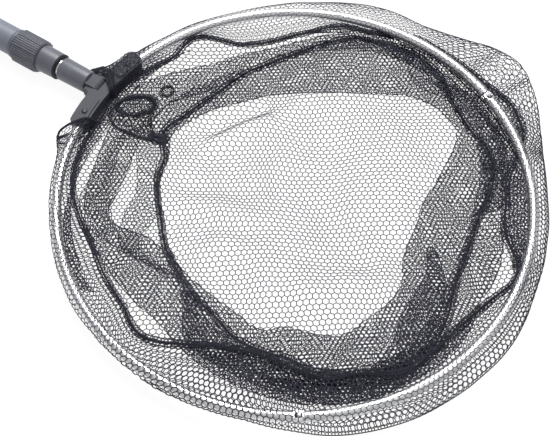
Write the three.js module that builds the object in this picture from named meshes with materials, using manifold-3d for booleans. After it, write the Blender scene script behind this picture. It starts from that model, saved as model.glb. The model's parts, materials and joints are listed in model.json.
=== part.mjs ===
// Round hand net with a folding head on a two-section telescopic pole.
// Millimetres, +Z up. The pole lies along X, with its rear face at the origin and the net at +X.

import * as THREE from 'three';
import { mergeVertices } from 'three/addons/utils/BufferGeometryUtils.js';
import Module from 'manifold-3d';

const wasm = await Module();
wasm.setup();

// Shared clearances
const fitGap = 0.3;
const foldGap = 0.4;
const drapeGap = 0.8;

// Pole tubes, grip and rear cap
const outerTubeRadius = 13;
const outerTubeWall = 1.2;
const outerTubeLength = 430;
const innerTubeRadius = 9;
const innerTubeWall = 1;
const innerTubeHiddenLength = 360;
const guideBushLength = 25;
const guideBushLip = 3;
const capFlangeLength = 5;
const capFlangeRadius = 14.2;
const capChamfer = 1.2;
const capPlugLength = 18;
const capPlugWall = 2.5;
const gripRadius = 16.5;
const gripLength = 150;
const gripGrooves = 5;
const gripGrooveDepth = 1;
const gripGrooveWidth = 3;

// Twist lock at the mouth of the outer tube
const spigotLength = 20;
const lipRadius = 13.8;
const lipLength = 3.6;
const barrelRadius = 12.4;
const collarRadius = 14.6;
const collarLength = 27;
const collarRibs = 45;
const ribHeight = 0.5;
const tallRibHeight = 1;
const tallRibEvery = 5;
const collarChamfer = 1;
const noseLength = 18.7;
const noseRearRadius = 12.5;
const noseFrontRadius = 12;
const colletLength = 18;
const colletWall = 1.4;
const colletSlit = 1.6;
const sealLength = 1.4;
const sealRadius = 12.2;

// Socket shank with the tongue of the fold hinge
const polishedGap = 2.7;
const shankLength = 29.6;
const shankRearRadius = 10.8;
const shankFrontRadius = 10.2;
const shankWeb = 6;
const shankChamfer = 0.6;
const tongueWidth = 13;
const tongueRadius = 7;
const pinRadius = 2.9;
const pinToShank = 8;
const pinToRing = 9;
const shankRivetRadius = 1.5;
const shankRivetHead = 2.6;
const rivetHeadHeight = 1.2;

// Yoke: two moulded shells that clamp the ends of the hoop
const yokeHalfHeight = 7;
const cheekWidth = 4;
const armWidth = 16;
const armReachAngle = 13;
const armBevel = 1.4;
const hubFillet = 7;
const rodEndAngle = 3.6;
const armRibWidth = 3;
const armRibHeight = 1.1;
const armRibInset = 2.2;
const armRibFromAngle = 5;
const armRibToAngle = 11.5;
const endRivetAngle = 9;
const endRivetRadius = 1.4;
const endRivetHead = 2.6;
const screwSide = 6;
const screwBack = 3;
const screwRadius = 1.5;
const screwHeadRadius = 2.8;
const screwHeadHeight = 2;

// Hoop of three round bars, half lapped and riveted
const hoopRadius = 200;
const rodRadius = 4.5;
const rodSides = 12;
const rodStepAngle = 5;
const leftSpliceAngle = 63.5;
const rightSpliceAngle = -56.5;
const lapLength = 12;
const eyeRadius = 4.3;
const eyeFlat = 3.4;
const spliceRivetRadius = 1.5;
const spliceRivetHead = 2.3;

// Net: a sleeve on the hoop, its hem, a slack wall, and a flat bottom on the ground.
// How far the drape lies outside or inside the hoop's centreline, one every 30 degrees from +X.
const sleeveOutsets = [19, 13, 42, 23, 20, 8, 12, 8, 8, 8, 10, 17];
const hemInsets = [18, 22, 16, 15, 22, 15, 16, 15, 30, 40, 52, 18];
const seamInsets = [43, 40, 28, 23, 40, 68, 69, 83, 86, 73, 65, 33];
const sleeveFromAngle = 15;
const sleeveWall = 1.2;
const sleeveSlack = 0.8;
const hemRadius = 1.8;
const hemDrop = 1;
const seamRadius = 2.2;
const wallThickness = 1.6;
const bottomThickness = 1.2;
const bottomRimWidth = 6;
const bottomRimInsideWidth = 5;
const netPitch = 20;
const strandWidth = 2;
const ringStepAngle = 6;
const cordSides = 6;

// Round parts share one count of sides, so that nested facets stay parallel.
const roundSides = 24;
const smallSides = 12;
// Steps along each arc of a drawn outline; a full circle has twice as many sides.
const arcSteps = 4;

// Stations along the pole, worked out from the rear face forwards
const tubeStart = capFlangeLength + fitGap;
const tubeFront = tubeStart + outerTubeLength;
const outerTubeBore = outerTubeRadius - outerTubeWall;
const lipStart = tubeFront + fitGap;
const collarStart = lipStart + lipLength + fitGap;
const noseStart = collarStart + collarLength + fitGap;
const noseEnd = noseStart + noseLength;
const sealStart = noseEnd + fitGap;
const sealEnd = sealStart + sealLength;
const shankRear = sealEnd + polishedGap;
const shankFront = shankRear + shankLength;
const slideBore = innerTubeRadius + fitGap;
const innerTubeRear = tubeFront - innerTubeHiddenLength;
const innerTubeFront = shankFront - shankWeb - fitGap;
const pinX = shankFront + pinToShank;
const hoopX = pinX + pinToRing + hoopRadius;
const floorZ = -gripRadius;
const netTopZ = floorZ + bottomThickness;
const seamZ = netTopZ + fitGap + seamRadius;
const tongueGap = tongueWidth / 2 + foldGap;
const hubHalfWidth = tongueGap + cheekWidth;
const pinInHead = pinX - hoopX;

const deg = THREE.MathUtils.degToRad;

// Materials
function finish(color, roughness, metalness) {
  return new THREE.MeshStandardMaterial({ color, roughness, metalness });
}

const looks = {
  pole: finish(0x585b66, 0.45, 0.35),
  lock: finish(0x4c4e58, 0.5, 0),
  polished: finish(0xd8d9dc, 0.22, 1),
  rubber: finish(0x101012, 0.75, 0),
  grip: finish(0x1d1e21, 0.9, 0),
  yoke: finish(0x4a4c56, 0.5, 0),
  rod: finish(0xc9cbcf, 0.3, 1),
  rivet: finish(0xb4b6ba, 0.35, 1),
  netting: finish(0x1b1b22, 0.85, 0),
  hem: finish(0x15151b, 0.85, 0),
};

// Geometry helpers

// Turns a closed geometry so that its faces point outwards, with shared vertices merged.
function outward(geometry) {
  const bare = geometry.index ? geometry.clone() : geometry;
  bare.deleteAttribute('normal');
  bare.deleteAttribute('uv');
  const merged = mergeVertices(bare, 1e-4);
  const index = merged.index.array;
  const kept = [];
  for (let i = 0; i < index.length; i += 3) {
    const [a, b, c] = [index[i], index[i + 1], index[i + 2]];
    if (a !== b && b !== c && c !== a) kept.push(a, b, c);
  }
  const position = merged.attributes.position;
  const [p, q, r] = [new THREE.Vector3(), new THREE.Vector3(), new THREE.Vector3()];
  let volume = 0;
  for (let i = 0; i < kept.length; i += 3) {
    p.fromBufferAttribute(position, kept[i]);
    q.fromBufferAttribute(position, kept[i + 1]);
    r.fromBufferAttribute(position, kept[i + 2]);
    volume += p.dot(q.cross(r));
  }
  merged.setIndex(volume < 0 ? kept.reverse() : kept);
  return merged;
}

function toSolid(geometry) {
  const closed = outward(geometry);
  const vertProperties = new Float32Array(closed.attributes.position.array);
  const triVerts = new Uint32Array(closed.index.array);
  return new wasm.Manifold(new wasm.Mesh({ numProp: 3, vertProperties, triVerts }));
}

function toGeometry(solid) {
  const mesh = solid.getMesh();
  const geometry = new THREE.BufferGeometry();
  geometry.setAttribute('position', new THREE.BufferAttribute(mesh.vertProperties, 3));
  geometry.setIndex(new THREE.BufferAttribute(mesh.triVerts, 1));
  return geometry;
}

function addPiece(group, name, geometry, material) {
  const closed = outward(geometry);
  closed.computeVertexNormals();
  const mesh = new THREE.Mesh(closed, material);
  mesh.name = name;
  group.add(mesh);
}

// Revolves a closed profile of [along, radius] points round the X axis.
function turned(profile, sides = roundSides) {
  const points = profile.map(([along, radius]) => new THREE.Vector2(radius, along));
  points.push(points[0].clone());
  const geometry = new THREE.LatheGeometry(points, sides);
  geometry.rotateZ(-Math.PI / 2);
  return geometry;
}

// A turned piece that stands on the X axis, moved so that it runs along +Z.
function upright(geometry) {
  return geometry.rotateY(-Math.PI / 2);
}

function tubeProfile(from, to, outer, inner) {
  return [[from, inner], [from, outer], [to, outer], [to, inner]];
}

function rodProfile(from, to, radius) {
  return [[from, 0], [from, radius], [to, radius], [to, 0]];
}

// An upright drill that cuts a round hole through everything at x, y.
function drill(x, y, radius, from, to) {
  return toSolid(upright(turned(rodProfile(from, to, radius), smallSides)).translate(x, y, 0));
}

// A smooth value at any angle, from values given at even steps round the circle.
function roundValue(values, angle) {
  const count = values.length;
  const place = (((angle / 360) * count) % count + count) % count;
  const at = Math.floor(place);
  const t = place - at;
  const [before, start, end, after] = [-1, 0, 1, 2].map((k) => values[(at + k + count) % count]);
  const startSlope = (end - before) / 2;
  const endSlope = (after - start) / 2;
  const bend = 3 * (end - start) - 2 * startSlope - endSlope;
  const twist = startSlope + endSlope - 2 * (end - start);
  return start + t * (startSlope + t * (bend + t * twist));
}

const sleeveEdge = (angle) => hoopRadius + roundValue(sleeveOutsets, angle);
const hemLine = (angle) => hoopRadius - roundValue(hemInsets, angle);
const seamLine = (angle) => hoopRadius - roundValue(seamInsets, angle);

function polar(radius, angle, z = 0) {
  return new THREE.Vector3(radius * Math.cos(deg(angle)), radius * Math.sin(deg(angle)), z);
}

// Joins rings of points into one closed skin, either round a loop or as a tube whose
// two ends are closed by the strips in endFaces, given as triples of places in a ring.
function loft(rings, endFaces = null) {
  const count = rings[0].length;
  const position = rings.flat().flatMap((point) => point.toArray());
  const faces = [];
  const spans = endFaces ? rings.length - 1 : rings.length;
  for (let i = 0; i < spans; i += 1) {
    const here = i * count;
    const next = ((i + 1) % rings.length) * count;
    for (let j = 0; j < count; j += 1) {
      const k = (j + 1) % count;
      faces.push(here + j, here + k, next + k, here + j, next + k, next + j);
    }
  }
  const last = (rings.length - 1) * count;
  for (const [a, b, c] of endFaces ?? []) {
    faces.push(c, b, a, last + a, last + b, last + c);
  }
  const geometry = new THREE.BufferGeometry();
  geometry.setAttribute('position', new THREE.Float32BufferAttribute(position, 3));
  geometry.setIndex(faces);
  return geometry;
}

// A closed ring round the hoop's axis; sectionAt gives [radius, z] points at an angle.
function ringLoft(sectionAt) {
  const rings = [];
  for (let angle = 0; angle < 360; angle += ringStepAngle) {
    rings.push(sectionAt(angle).map(([radius, z]) => polar(radius, angle, z)));
  }
  return loft(rings);
}

function roundSection(radius, sides, centreRadius, centreZ) {
  const points = [];
  for (let i = 0; i < sides; i += 1) {
    const turn = (i / sides) * 2 * Math.PI;
    points.push([centreRadius + radius * Math.cos(turn), centreZ + radius * Math.sin(turn)]);
  }
  return points;
}

// Pole body: outer tube, grip, rear cap and the fixed parts of the lock

function outerTube() {
  return turned(tubeProfile(tubeStart, tubeFront, outerTubeRadius, outerTubeBore));
}

function rearEndCap() {
  const plugRadius = outerTubeBore - fitGap;
  const plugEnd = capFlangeLength + capPlugLength;
  return turned([
    [0, 0],
    [0, capFlangeRadius - capChamfer],
    [capChamfer, capFlangeRadius],
    [capFlangeLength, capFlangeRadius],
    [capFlangeLength, plugRadius],
    [plugEnd, plugRadius],
    [plugEnd, plugRadius - capPlugWall],
    [capFlangeLength, plugRadius - capPlugWall],
    [capFlangeLength, 0],
  ]);
}

// Foam grip with shallow rings pressed round it
function gripSleeve() {
  const start = capFlangeLength + fitGap;
  const bore = outerTubeRadius + fitGap;
  const spacing = gripLength / (gripGrooves + 1);
  const profile = [[start, bore], [start, gripRadius - gripGrooveDepth]];
  profile.push([start + gripGrooveWidth, gripRadius]);
  for (let i = 1; i <= gripGrooves; i += 1) {
    const middle = start + i * spacing;
    profile.push([middle - gripGrooveWidth, gripRadius]);
    profile.push([middle, gripRadius - gripGrooveDepth]);
    profile.push([middle + gripGrooveWidth, gripRadius]);
  }
  const end = start + gripLength;
  profile.push([end - gripGrooveWidth, gripRadius]);
  profile.push([end, gripRadius - gripGrooveDepth], [end, bore]);
  return turned(profile);
}

// Moulded sleeve: a spigot inside the tube, the lip, the barrel under the collar, and the nose
function lockSleeve() {
  const spigotRadius = outerTubeBore - fitGap;
  const recessRadius = innerTubeRadius + fitGap + colletWall + fitGap;
  const recessEnd = collarStart + colletLength + fitGap;
  return turned([
    [lipStart - spigotLength, slideBore],
    [lipStart - spigotLength, spigotRadius],
    [lipStart, spigotRadius],
    [lipStart, lipRadius],
    [lipStart + lipLength, lipRadius],
    [lipStart + lipLength, barrelRadius],
    [noseStart, barrelRadius],
    [noseStart, noseRearRadius],
    [noseEnd, noseFrontRadius],
    [noseEnd, slideBore],
    [recessEnd, slideBore],
    [recessEnd, recessRadius],
    [collarStart - fitGap, recessRadius],
    [collarStart - fitGap, slideBore],
  ]);
}

// Split ring that the collar closes on the inner tube
function clampCollet() {
  const inner = innerTubeRadius + fitGap;
  const ring = toSolid(turned(tubeProfile(collarStart, collarStart + colletLength, inner + colletWall, inner)));
  const slit = new THREE.BoxGeometry(2 * colletLength, colletSlit, 2 * inner);
  slit.translate(collarStart + colletLength / 2, 0, -inner);
  return toGeometry(ring.subtract(toSolid(slit)));
}

function mouthSeal() {
  return turned(tubeProfile(sealStart, sealEnd, sealRadius, slideBore));
}

// Ribbed twist collar, with every fifth rib taller for the fingers
function twistCollar() {
  const outline = new THREE.Shape();
  for (let i = 0; i < collarRibs; i += 1) {
    const height = i % tallRibEvery === 0 ? tallRibHeight : ribHeight;
    const steps = [[0.1, 0], [0.35, height], [0.65, height], [0.9, 0]];
    for (const [share, rise] of steps) {
      const turn = ((i + share) / collarRibs) * 2 * Math.PI;
      const radius = collarRadius + rise;
      const [x, y] = [radius * Math.cos(turn), radius * Math.sin(turn)];
      if (i === 0 && rise === 0 && share < 0.5) outline.moveTo(x, y);
      else outline.lineTo(x, y);
    }
  }
  outline.closePath();
  const ribbed = new THREE.ExtrudeGeometry(outline, { depth: collarLength, bevelEnabled: false });
  ribbed.rotateY(Math.PI / 2).translate(collarStart, 0, 0);
  const end = collarStart + collarLength;
  const crown = collarRadius + tallRibHeight;
  const envelope = turned([
    [collarStart, barrelRadius + fitGap],
    [collarStart, crown - collarChamfer],
    [collarStart + collarChamfer, crown + fitGap],
    [end - collarChamfer, crown + fitGap],
    [end, crown - collarChamfer],
    [end, barrelRadius + fitGap],
  ]);
  return toGeometry(toSolid(ribbed).intersect(toSolid(envelope)));
}

// Sliding section: inner tube, its guide bush, and the socket shank

function rivetHole() {
  const x = (shankRear + innerTubeFront) / 2;
  return drill(x, 0, shankRivetRadius + fitGap, -2 * shankRearRadius, 0);
}

function innerTube() {
  const bore = innerTubeRadius - innerTubeWall;
  const tube = toSolid(turned(tubeProfile(innerTubeRear, innerTubeFront, innerTubeRadius, bore)));
  return toGeometry(tube.subtract(rivetHole()));
}

// Bush with a lip over the rear end of the inner tube; it runs in the outer tube
function guideBush() {
  const start = innerTubeRear - guideBushLip;
  const end = innerTubeRear + guideBushLength;
  const bore = innerTubeRadius + fitGap;
  return turned([
    [start, innerTubeRadius - innerTubeWall],
    [start, outerTubeBore - fitGap],
    [end, outerTubeBore - fitGap],
    [end, bore],
    [innerTubeRear - fitGap, bore],
    [innerTubeRear - fitGap, innerTubeRadius - innerTubeWall],
  ]);
}

// A flat-sided plate along Y with one round end on the hinge pin
function hingePlate(radius, back, width) {
  const side = new THREE.Shape();
  side.moveTo(back, -radius);
  side.lineTo(pinX, -radius);
  side.absarc(pinX, 0, radius, -Math.PI / 2, Math.PI / 2, false);
  side.lineTo(back, radius);
  side.closePath();
  const plate = new THREE.ExtrudeGeometry(side, { depth: width, bevelEnabled: false, curveSegments: arcSteps });
  plate.translate(0, 0, -width / 2).rotateX(Math.PI / 2);
  return plate;
}

// A cutter along Y through the hinge
function hingeBore(radius, centreX) {
  const half = 2 * hubHalfWidth;
  return toSolid(turned(rodProfile(-half, half, radius), smallSides).rotateZ(Math.PI / 2).translate(centreX, 0, 0));
}

function socketShank() {
  const socketEnd = shankFront - shankWeb;
  const socket = turned([
    [shankRear, slideBore],
    [shankRear, shankRearRadius - shankChamfer],
    [shankRear + shankChamfer, shankRearRadius],
    [shankFront - shankChamfer, shankFrontRadius],
    [shankFront, shankFrontRadius - shankChamfer],
    [shankFront, 0],
    [socketEnd, 0],
    [socketEnd, slideBore],
  ]);
  const tongue = hingePlate(tongueRadius, shankFront - shankWeb / 2, tongueWidth);
  const joined = toSolid(socket).add(toSolid(tongue));
  return toGeometry(joined.subtract(hingeBore(pinRadius + fitGap, pinX)).subtract(rivetHole()));
}

// Rivet that holds the tube in the socket, seen from below
function shankRivet() {
  const x = (shankRear + innerTubeFront) / 2;
  const along = (x - shankRear) / shankLength;
  const skin = THREE.MathUtils.lerp(shankRearRadius, shankFrontRadius, along) + fitGap;
  const tip = innerTubeRadius - innerTubeWall - rivetHeadHeight;
  const rivet = turned([
    [tip, 0],
    [tip, shankRivetRadius],
    [skin, shankRivetRadius],
    [skin, shankRivetHead],
    [skin + rivetHeadHeight / 2, shankRivetHead],
    [skin + rivetHeadHeight, shankRivetHead / 2],
    [skin + rivetHeadHeight, 0],
  ], smallSides);
  return rivet.rotateY(Math.PI / 2).translate(x, 0, 0);
}

// Head: everything below is built round the hoop's centre

class HoopArc extends THREE.Curve {
  constructor(from, to) {
    super();
    this.from = from;
    this.to = to;
  }

  getPoint(t, target = new THREE.Vector3()) {
    return target.copy(polar(hoopRadius, THREE.MathUtils.lerp(this.from, this.to, t)));
  }
}

// A round bar along the hoop, made of square-cut rings so that its ends are radial
function hoopBar(from, to, radius) {
  const steps = Math.max(1, Math.round(Math.abs(to - from) / rodStepAngle));
  const path = new HoopArc(from, to);
  const section = new THREE.Shape();
  section.absarc(0, 0, radius, 0, 2 * Math.PI, false);
  return new THREE.ExtrudeGeometry(section, { steps, extrudePath: path, curveSegments: rodSides / 2 });
}

// Plan outline of the two arms, following the hoop, with round tips
function armOutline(width, reach) {
  const inner = hoopRadius - width / 2;
  const outer = hoopRadius + width / 2;
  const tip = reach - THREE.MathUtils.radToDeg(width / 2 / hoopRadius);
  const [low, high] = [deg(180 - tip), deg(180 + tip)];
  const outline = new THREE.Shape();
  outline.absarc(0, 0, outer, low, high, false);
  const highTip = polar(hoopRadius, 180 + tip);
  outline.absarc(highTip.x, highTip.y, width / 2, high, high + Math.PI, false);
  outline.absarc(0, 0, inner, high, low, true);
  const lowTip = polar(hoopRadius, 180 - tip);
  outline.absarc(lowTip.x, lowTip.y, width / 2, low + Math.PI, low + 2 * Math.PI, false);
  outline.closePath();
  return outline;
}

// Plan outline of the hub, with a hollow fillet into each arm
function hubOutline() {
  const rear = pinInHead - tongueRadius;
  const front = -hoopRadius + armWidth / 2 - armBevel;
  const armLine = -hoopRadius - armWidth / 2 + armBevel;
  const outline = new THREE.Shape();
  outline.moveTo(rear, -hubHalfWidth);
  outline.lineTo(armLine - hubFillet, -hubHalfWidth);
  outline.absarc(armLine - hubFillet, -hubHalfWidth - hubFillet, hubFillet, Math.PI / 2, 0, true);
  outline.lineTo(front, -hubHalfWidth - hubFillet);
  outline.lineTo(front, hubHalfWidth + hubFillet);
  outline.lineTo(armLine, hubHalfWidth + hubFillet);
  outline.absarc(armLine - hubFillet, hubHalfWidth + hubFillet, hubFillet, 0, -Math.PI / 2, true);
  outline.lineTo(rear, hubHalfWidth);
  outline.closePath();
  return outline;
}

// Side view of the cheeks: half round about the pin, then straight on into the arms
function cheekEnvelope() {
  const side = new THREE.Shape();
  const front = -hoopRadius + armWidth;
  side.moveTo(front, yokeHalfHeight);
  side.lineTo(pinInHead, yokeHalfHeight);
  side.absarc(pinInHead, 0, yokeHalfHeight, Math.PI / 2, 1.5 * Math.PI, false);
  side.lineTo(front, -yokeHalfHeight);
  side.closePath();
  const width = 4 * hubHalfWidth;
  const slab = new THREE.ExtrudeGeometry(side, { depth: width, bevelEnabled: false, curveSegments: arcSteps });
  slab.translate(0, 0, -width / 2).rotateX(Math.PI / 2);
  return toSolid(slab);
}

// Raised rib along the inner edge of one arm
function armRib(side) {
  const inner = hoopRadius - armWidth / 2 + armRibInset;
  const outline = new THREE.Shape();
  const [near, far] = [deg(180 + side * armRibFromAngle), deg(180 + side * armRibToAngle)];
  outline.absarc(0, 0, inner + armRibWidth, near, far, side < 0);
  outline.absarc(0, 0, inner, far, near, side > 0);
  outline.closePath();
  const depth = yokeHalfHeight + armRibHeight - fitGap;
  const rib = new THREE.ExtrudeGeometry(outline, { depth, bevelEnabled: false, curveSegments: arcSteps });
  return toSolid(rib.translate(0, 0, fitGap));
}

function hingeSlot() {
  const reach = tongueRadius + foldGap;
  const cut = hingePlate(reach, pinX - 2 * pinToShank, 2 * tongueGap);
  const tall = toSolid(cut.translate(-hoopX, 0, 0));
  const box = new THREE.BoxGeometry(pinToShank + reach, 2 * tongueGap, 3 * yokeHalfHeight);
  box.translate(pinInHead + (reach - pinToShank) / 2, 0, 0);
  return tall.add(toSolid(box));
}

function endRivetSpot(side) {
  return polar(hoopRadius, 180 + side * endRivetAngle);
}

function screwSpot(side) {
  return new THREE.Vector3(-hoopRadius + screwBack, side * screwSide, 0);
}

// One half of the yoke; face is +1 for the top shell and -1 for the bottom one
function yokeShell(face) {
  const depth = yokeHalfHeight - fitGap / 2 - armBevel;
  const inset = { bevelEnabled: true, bevelThickness: armBevel, bevelSize: armBevel, bevelOffset: -armBevel };
  const moulded = { depth, bevelSegments: 2, curveSegments: arcSteps, ...inset };
  const arms = new THREE.ExtrudeGeometry(armOutline(armWidth, armReachAngle), moulded);
  const hubHeight = yokeHalfHeight - fitGap / 2;
  const hub = new THREE.ExtrudeGeometry(hubOutline(), { depth: hubHeight, bevelEnabled: false, curveSegments: arcSteps });
  hub.translate(0, 0, fitGap / 2);
  let shell = toSolid(arms.translate(0, 0, fitGap / 2)).add(toSolid(hub).intersect(cheekEnvelope()));
  const below = new THREE.BoxGeometry(hoopRadius, hoopRadius, yokeHalfHeight);
  below.translate(-hoopRadius, 0, (fitGap - yokeHalfHeight) / 2);
  shell = shell.subtract(toSolid(below));
  for (const side of face > 0 ? [-1, 1] : []) shell = shell.add(armRib(side));
  shell = shell.subtract(hingeSlot()).subtract(hingeBore(pinRadius + fitGap, pinInHead));
  for (const side of [-1, 1]) {
    const tip = 180 + side * (armReachAngle + 1);
    const end = 180 + side * (rodEndAngle - THREE.MathUtils.radToDeg(fitGap / hoopRadius));
    shell = shell.subtract(toSolid(hoopBar(tip, end, rodRadius + fitGap)));
    const rivet = endRivetSpot(side);
    shell = shell.subtract(drill(rivet.x, rivet.y, endRivetRadius + fitGap, 0, 2 * yokeHalfHeight));
    const screw = screwSpot(side);
    const screwTop = face > 0 ? yokeHalfHeight - armBevel : 2 * yokeHalfHeight;
    shell = shell.subtract(drill(screw.x, screw.y, screwRadius + fitGap, -fitGap, screwTop));
    if (face < 0) {
      const seat = yokeHalfHeight - screwHeadHeight - fitGap;
      shell = shell.subtract(drill(screw.x, screw.y, screwHeadRadius + fitGap, seat, 2 * yokeHalfHeight));
    }
  }
  const geometry = toGeometry(shell);
  return face > 0 ? geometry : geometry.scale(1, 1, -1);
}

function hingePin() {
  const half = hubHalfWidth - fitGap;
  const pin = turned([
    [-half, 0],
    [-half, pinRadius - fitGap],
    [-half + fitGap, pinRadius],
    [half - fitGap, pinRadius],
    [half, pinRadius - fitGap],
    [half, 0],
  ], smallSides);
  return pin.rotateZ(Math.PI / 2).translate(pinInHead, 0, 0);
}

// A rivet with a low round head at each end, standing on +Z
function doubleRivet(radius, headRadius, halfGrip) {
  const seat = halfGrip + fitGap;
  const top = seat + rivetHeadHeight;
  const half = [[seat, radius], [seat, headRadius], [seat + rivetHeadHeight / 2, headRadius]];
  half.push([top, headRadius / 2], [top, 0]);
  const mirrored = half.map(([along, r]) => [-along, r]).reverse();
  return upright(turned([...mirrored, ...half], smallSides));
}

function endRivet(side) {
  const spot = endRivetSpot(side);
  return doubleRivet(endRivetRadius, endRivetHead, yokeHalfHeight).translate(spot.x, spot.y, 0);
}

// Screw driven up from below, with a flat round head in its counterbore
function yokeScrew(side) {
  const spot = screwSpot(side);
  const tip = yokeHalfHeight - armBevel - 2 * fitGap;
  const screw = upright(turned([
    [-yokeHalfHeight, 0],
    [-yokeHalfHeight, screwHeadRadius],
    [screwHeadHeight - yokeHalfHeight, screwHeadRadius],
    [screwHeadHeight - yokeHalfHeight, screwRadius],
    [tip, screwRadius],
    [tip, 0],
  ], smallSides));
  return screw.translate(spot.x, spot.y, 0);
}

// Half-lap tongue of a bar: the half above (+1) or below (-1), with a round eye on the rivet.
// The tongue starts from its square shoulder; way is +1 where it grows towards larger angles.
function lapTongue(splice, face, way) {
  const reach = THREE.MathUtils.radToDeg(lapLength / hoopRadius);
  const bar = toSolid(hoopBar(splice - way * 2 * reach, splice + way * 2 * reach, rodRadius));
  const strip = new THREE.Shape();
  strip.moveTo(-lapLength, -eyeRadius);
  strip.lineTo(0, -eyeRadius);
  strip.absarc(0, 0, eyeRadius, -Math.PI / 2, Math.PI / 2, false);
  strip.lineTo(-lapLength, eyeRadius);
  strip.closePath();
  const depth = eyeFlat - fitGap / 2;
  const block = new THREE.ExtrudeGeometry(strip, { depth, bevelEnabled: false, curveSegments: arcSteps });
  block.translate(0, 0, face > 0 ? fitGap / 2 : -fitGap / 2 - depth);
  const middle = polar(hoopRadius, splice);
  block.rotateZ(deg(splice + way * 90)).translate(middle.x, middle.y, 0);
  return bar.intersect(toSolid(block));
}

// A bar from one end to another; each end is square, or laps over or under its neighbour.
function hoopSegment(from, to, laps) {
  const shoulder = THREE.MathUtils.radToDeg((eyeRadius + fitGap) / hoopRadius);
  const [start, end] = [from + (laps.from ? shoulder : 0), to - (laps.to ? shoulder : 0)];
  let bar = toSolid(hoopBar(start, end, rodRadius));
  if (laps.from) bar = bar.add(lapTongue(from, laps.from, -1));
  if (laps.to) bar = bar.add(lapTongue(to, laps.to, 1));
  for (const angle of [from, to]) {
    const spot = polar(hoopRadius, angle);
    bar = bar.subtract(drill(spot.x, spot.y, spliceRivetRadius + fitGap, -2 * rodRadius, 2 * rodRadius));
  }
  for (const side of [-1, 1]) {
    const spot = endRivetSpot(side);
    bar = bar.subtract(drill(spot.x, spot.y, endRivetRadius + fitGap, -2 * rodRadius, 2 * rodRadius));
  }
  return toGeometry(bar);
}

function spliceRivet(angle) {
  const spot = polar(hoopRadius, angle);
  return doubleRivet(spliceRivetRadius, spliceRivetHead, eyeFlat).translate(spot.x, spot.y, 0);
}

// Net

// Flattened sleeve round the bar, from the outer fold to the hem, open at both ends by the yoke
function netSleeve() {
  const skin = rodRadius + sleeveSlack + sleeveWall;
  const lining = rodRadius + sleeveSlack;
  const rings = [];
  const count = Math.round((360 - 2 * sleeveFromAngle) / ringStepAngle);
  for (let i = 0; i <= count; i += 1) {
    const angle = 180 + sleeveFromAngle + (i / count) * (360 - 2 * sleeveFromAngle);
    const edge = Math.max(sleeveEdge(angle), hoopRadius + skin);
    const hem = hemLine(angle) + hemRadius + drapeGap;
    const loop = (half, out, inside) => [
      [out, 0],
      [hoopRadius + half * 0.8, half * 0.8],
      [hoopRadius, half],
      [hoopRadius - half * 0.8, half * 0.8],
      [inside, -hemDrop],
      [hoopRadius - half * 0.8, -half * 0.8],
      [hoopRadius, -half],
      [hoopRadius + half * 0.8, -half * 0.8],
    ];
    const outside = loop(skin, edge, hem);
    const inside = loop(lining, edge - sleeveWall, hem + 2 * sleeveWall);
    rings.push([outside, inside].map((half) => half.map(([r, z]) => polar(r, angle, z))));
  }
  const outer = rings.map(([outside]) => outside);
  const inner = rings.map(([, inside]) => inside).reverse();
  return loft([...outer, ...inner]);
}

function hemCord() {
  return ringLoft((angle) => roundSection(hemRadius, cordSides, hemLine(angle), -hemDrop));
}

function bottomSeam() {
  return ringLoft((angle) => roundSection(seamRadius, cordSides, seamLine(angle), seamZ));
}

// Slack wall of the bag, sagging from the hem to the seam
function netWall() {
  const half = wallThickness / 2;
  return ringLoft((angle) => {
    const top = hemLine(angle) - hemRadius - fitGap;
    const low = seamLine(angle) + seamRadius + fitGap;
    const middle = (top + low) / 2;
    const sag = (seamZ - hemDrop) / 2 - half;
    return [
      [top, half - hemDrop],
      [middle, sag + half],
      [low, seamZ + half],
      [low, seamZ - half],
      [middle, sag - half],
      [top, -half - hemDrop],
    ];
  });
}

// Flat bottom of the bag: a rim under the seam, and six-sided meshes inside it
function netBottom() {
  const outline = new THREE.Shape();
  for (let angle = 0; angle < 360; angle += ringStepAngle) {
    const point = polar(seamLine(angle) + bottomRimWidth, angle);
    if (angle === 0) outline.moveTo(point.x, point.y);
    else outline.lineTo(point.x, point.y);
  }
  outline.closePath();
  const rowPitch = (netPitch * Math.sqrt(3)) / 2;
  const cellRadius = (netPitch - strandWidth) / Math.sqrt(3);
  const rows = Math.ceil(hoopRadius / rowPitch);
  for (let row = -rows; row <= rows; row += 1) {
    const shift = row % 2 === 0 ? 0 : netPitch / 2;
    for (let column = -rows; column <= rows; column += 1) {
      const [x, y] = [column * netPitch + shift, row * rowPitch];
      const angle = THREE.MathUtils.radToDeg(Math.atan2(y, x));
      const room = seamLine(angle) - bottomRimInsideWidth - cellRadius;
      if (Math.hypot(x, y) > room) continue;
      const cell = new THREE.Path();
      for (let corner = 0; corner < 6; corner += 1) {
        const turn = deg(60 * corner + 30);
        const [cx, cy] = [x + cellRadius * Math.cos(turn), y + cellRadius * Math.sin(turn)];
        if (corner === 0) cell.moveTo(cx, cy);
        else cell.lineTo(cx, cy);
      }
      cell.closePath();
      outline.holes.push(cell);
    }
  }
  const panel = new THREE.ExtrudeGeometry(outline, { depth: bottomThickness, bevelEnabled: false });
  return panel.translate(0, 0, floorZ);
}

// Assembly

const net = new THREE.Group();

addPiece(net, 'outer_tube', outerTube(), looks.pole);
addPiece(net, 'rear_end_cap', rearEndCap(), looks.rubber);
addPiece(net, 'grip_sleeve', gripSleeve(), looks.grip);
addPiece(net, 'lock_sleeve', lockSleeve(), looks.lock);
addPiece(net, 'clamp_collet', clampCollet(), looks.rubber);
addPiece(net, 'mouth_seal', mouthSeal(), looks.rubber);
addPiece(net, 'twist_collar', twistCollar(), looks.lock);
addPiece(net, 'inner_tube', innerTube(), looks.polished);
addPiece(net, 'guide_bush', guideBush(), looks.rubber);
addPiece(net, 'socket_shank', socketShank(), looks.lock);
addPiece(net, 'shank_rivet', shankRivet(), looks.rivet);

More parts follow.
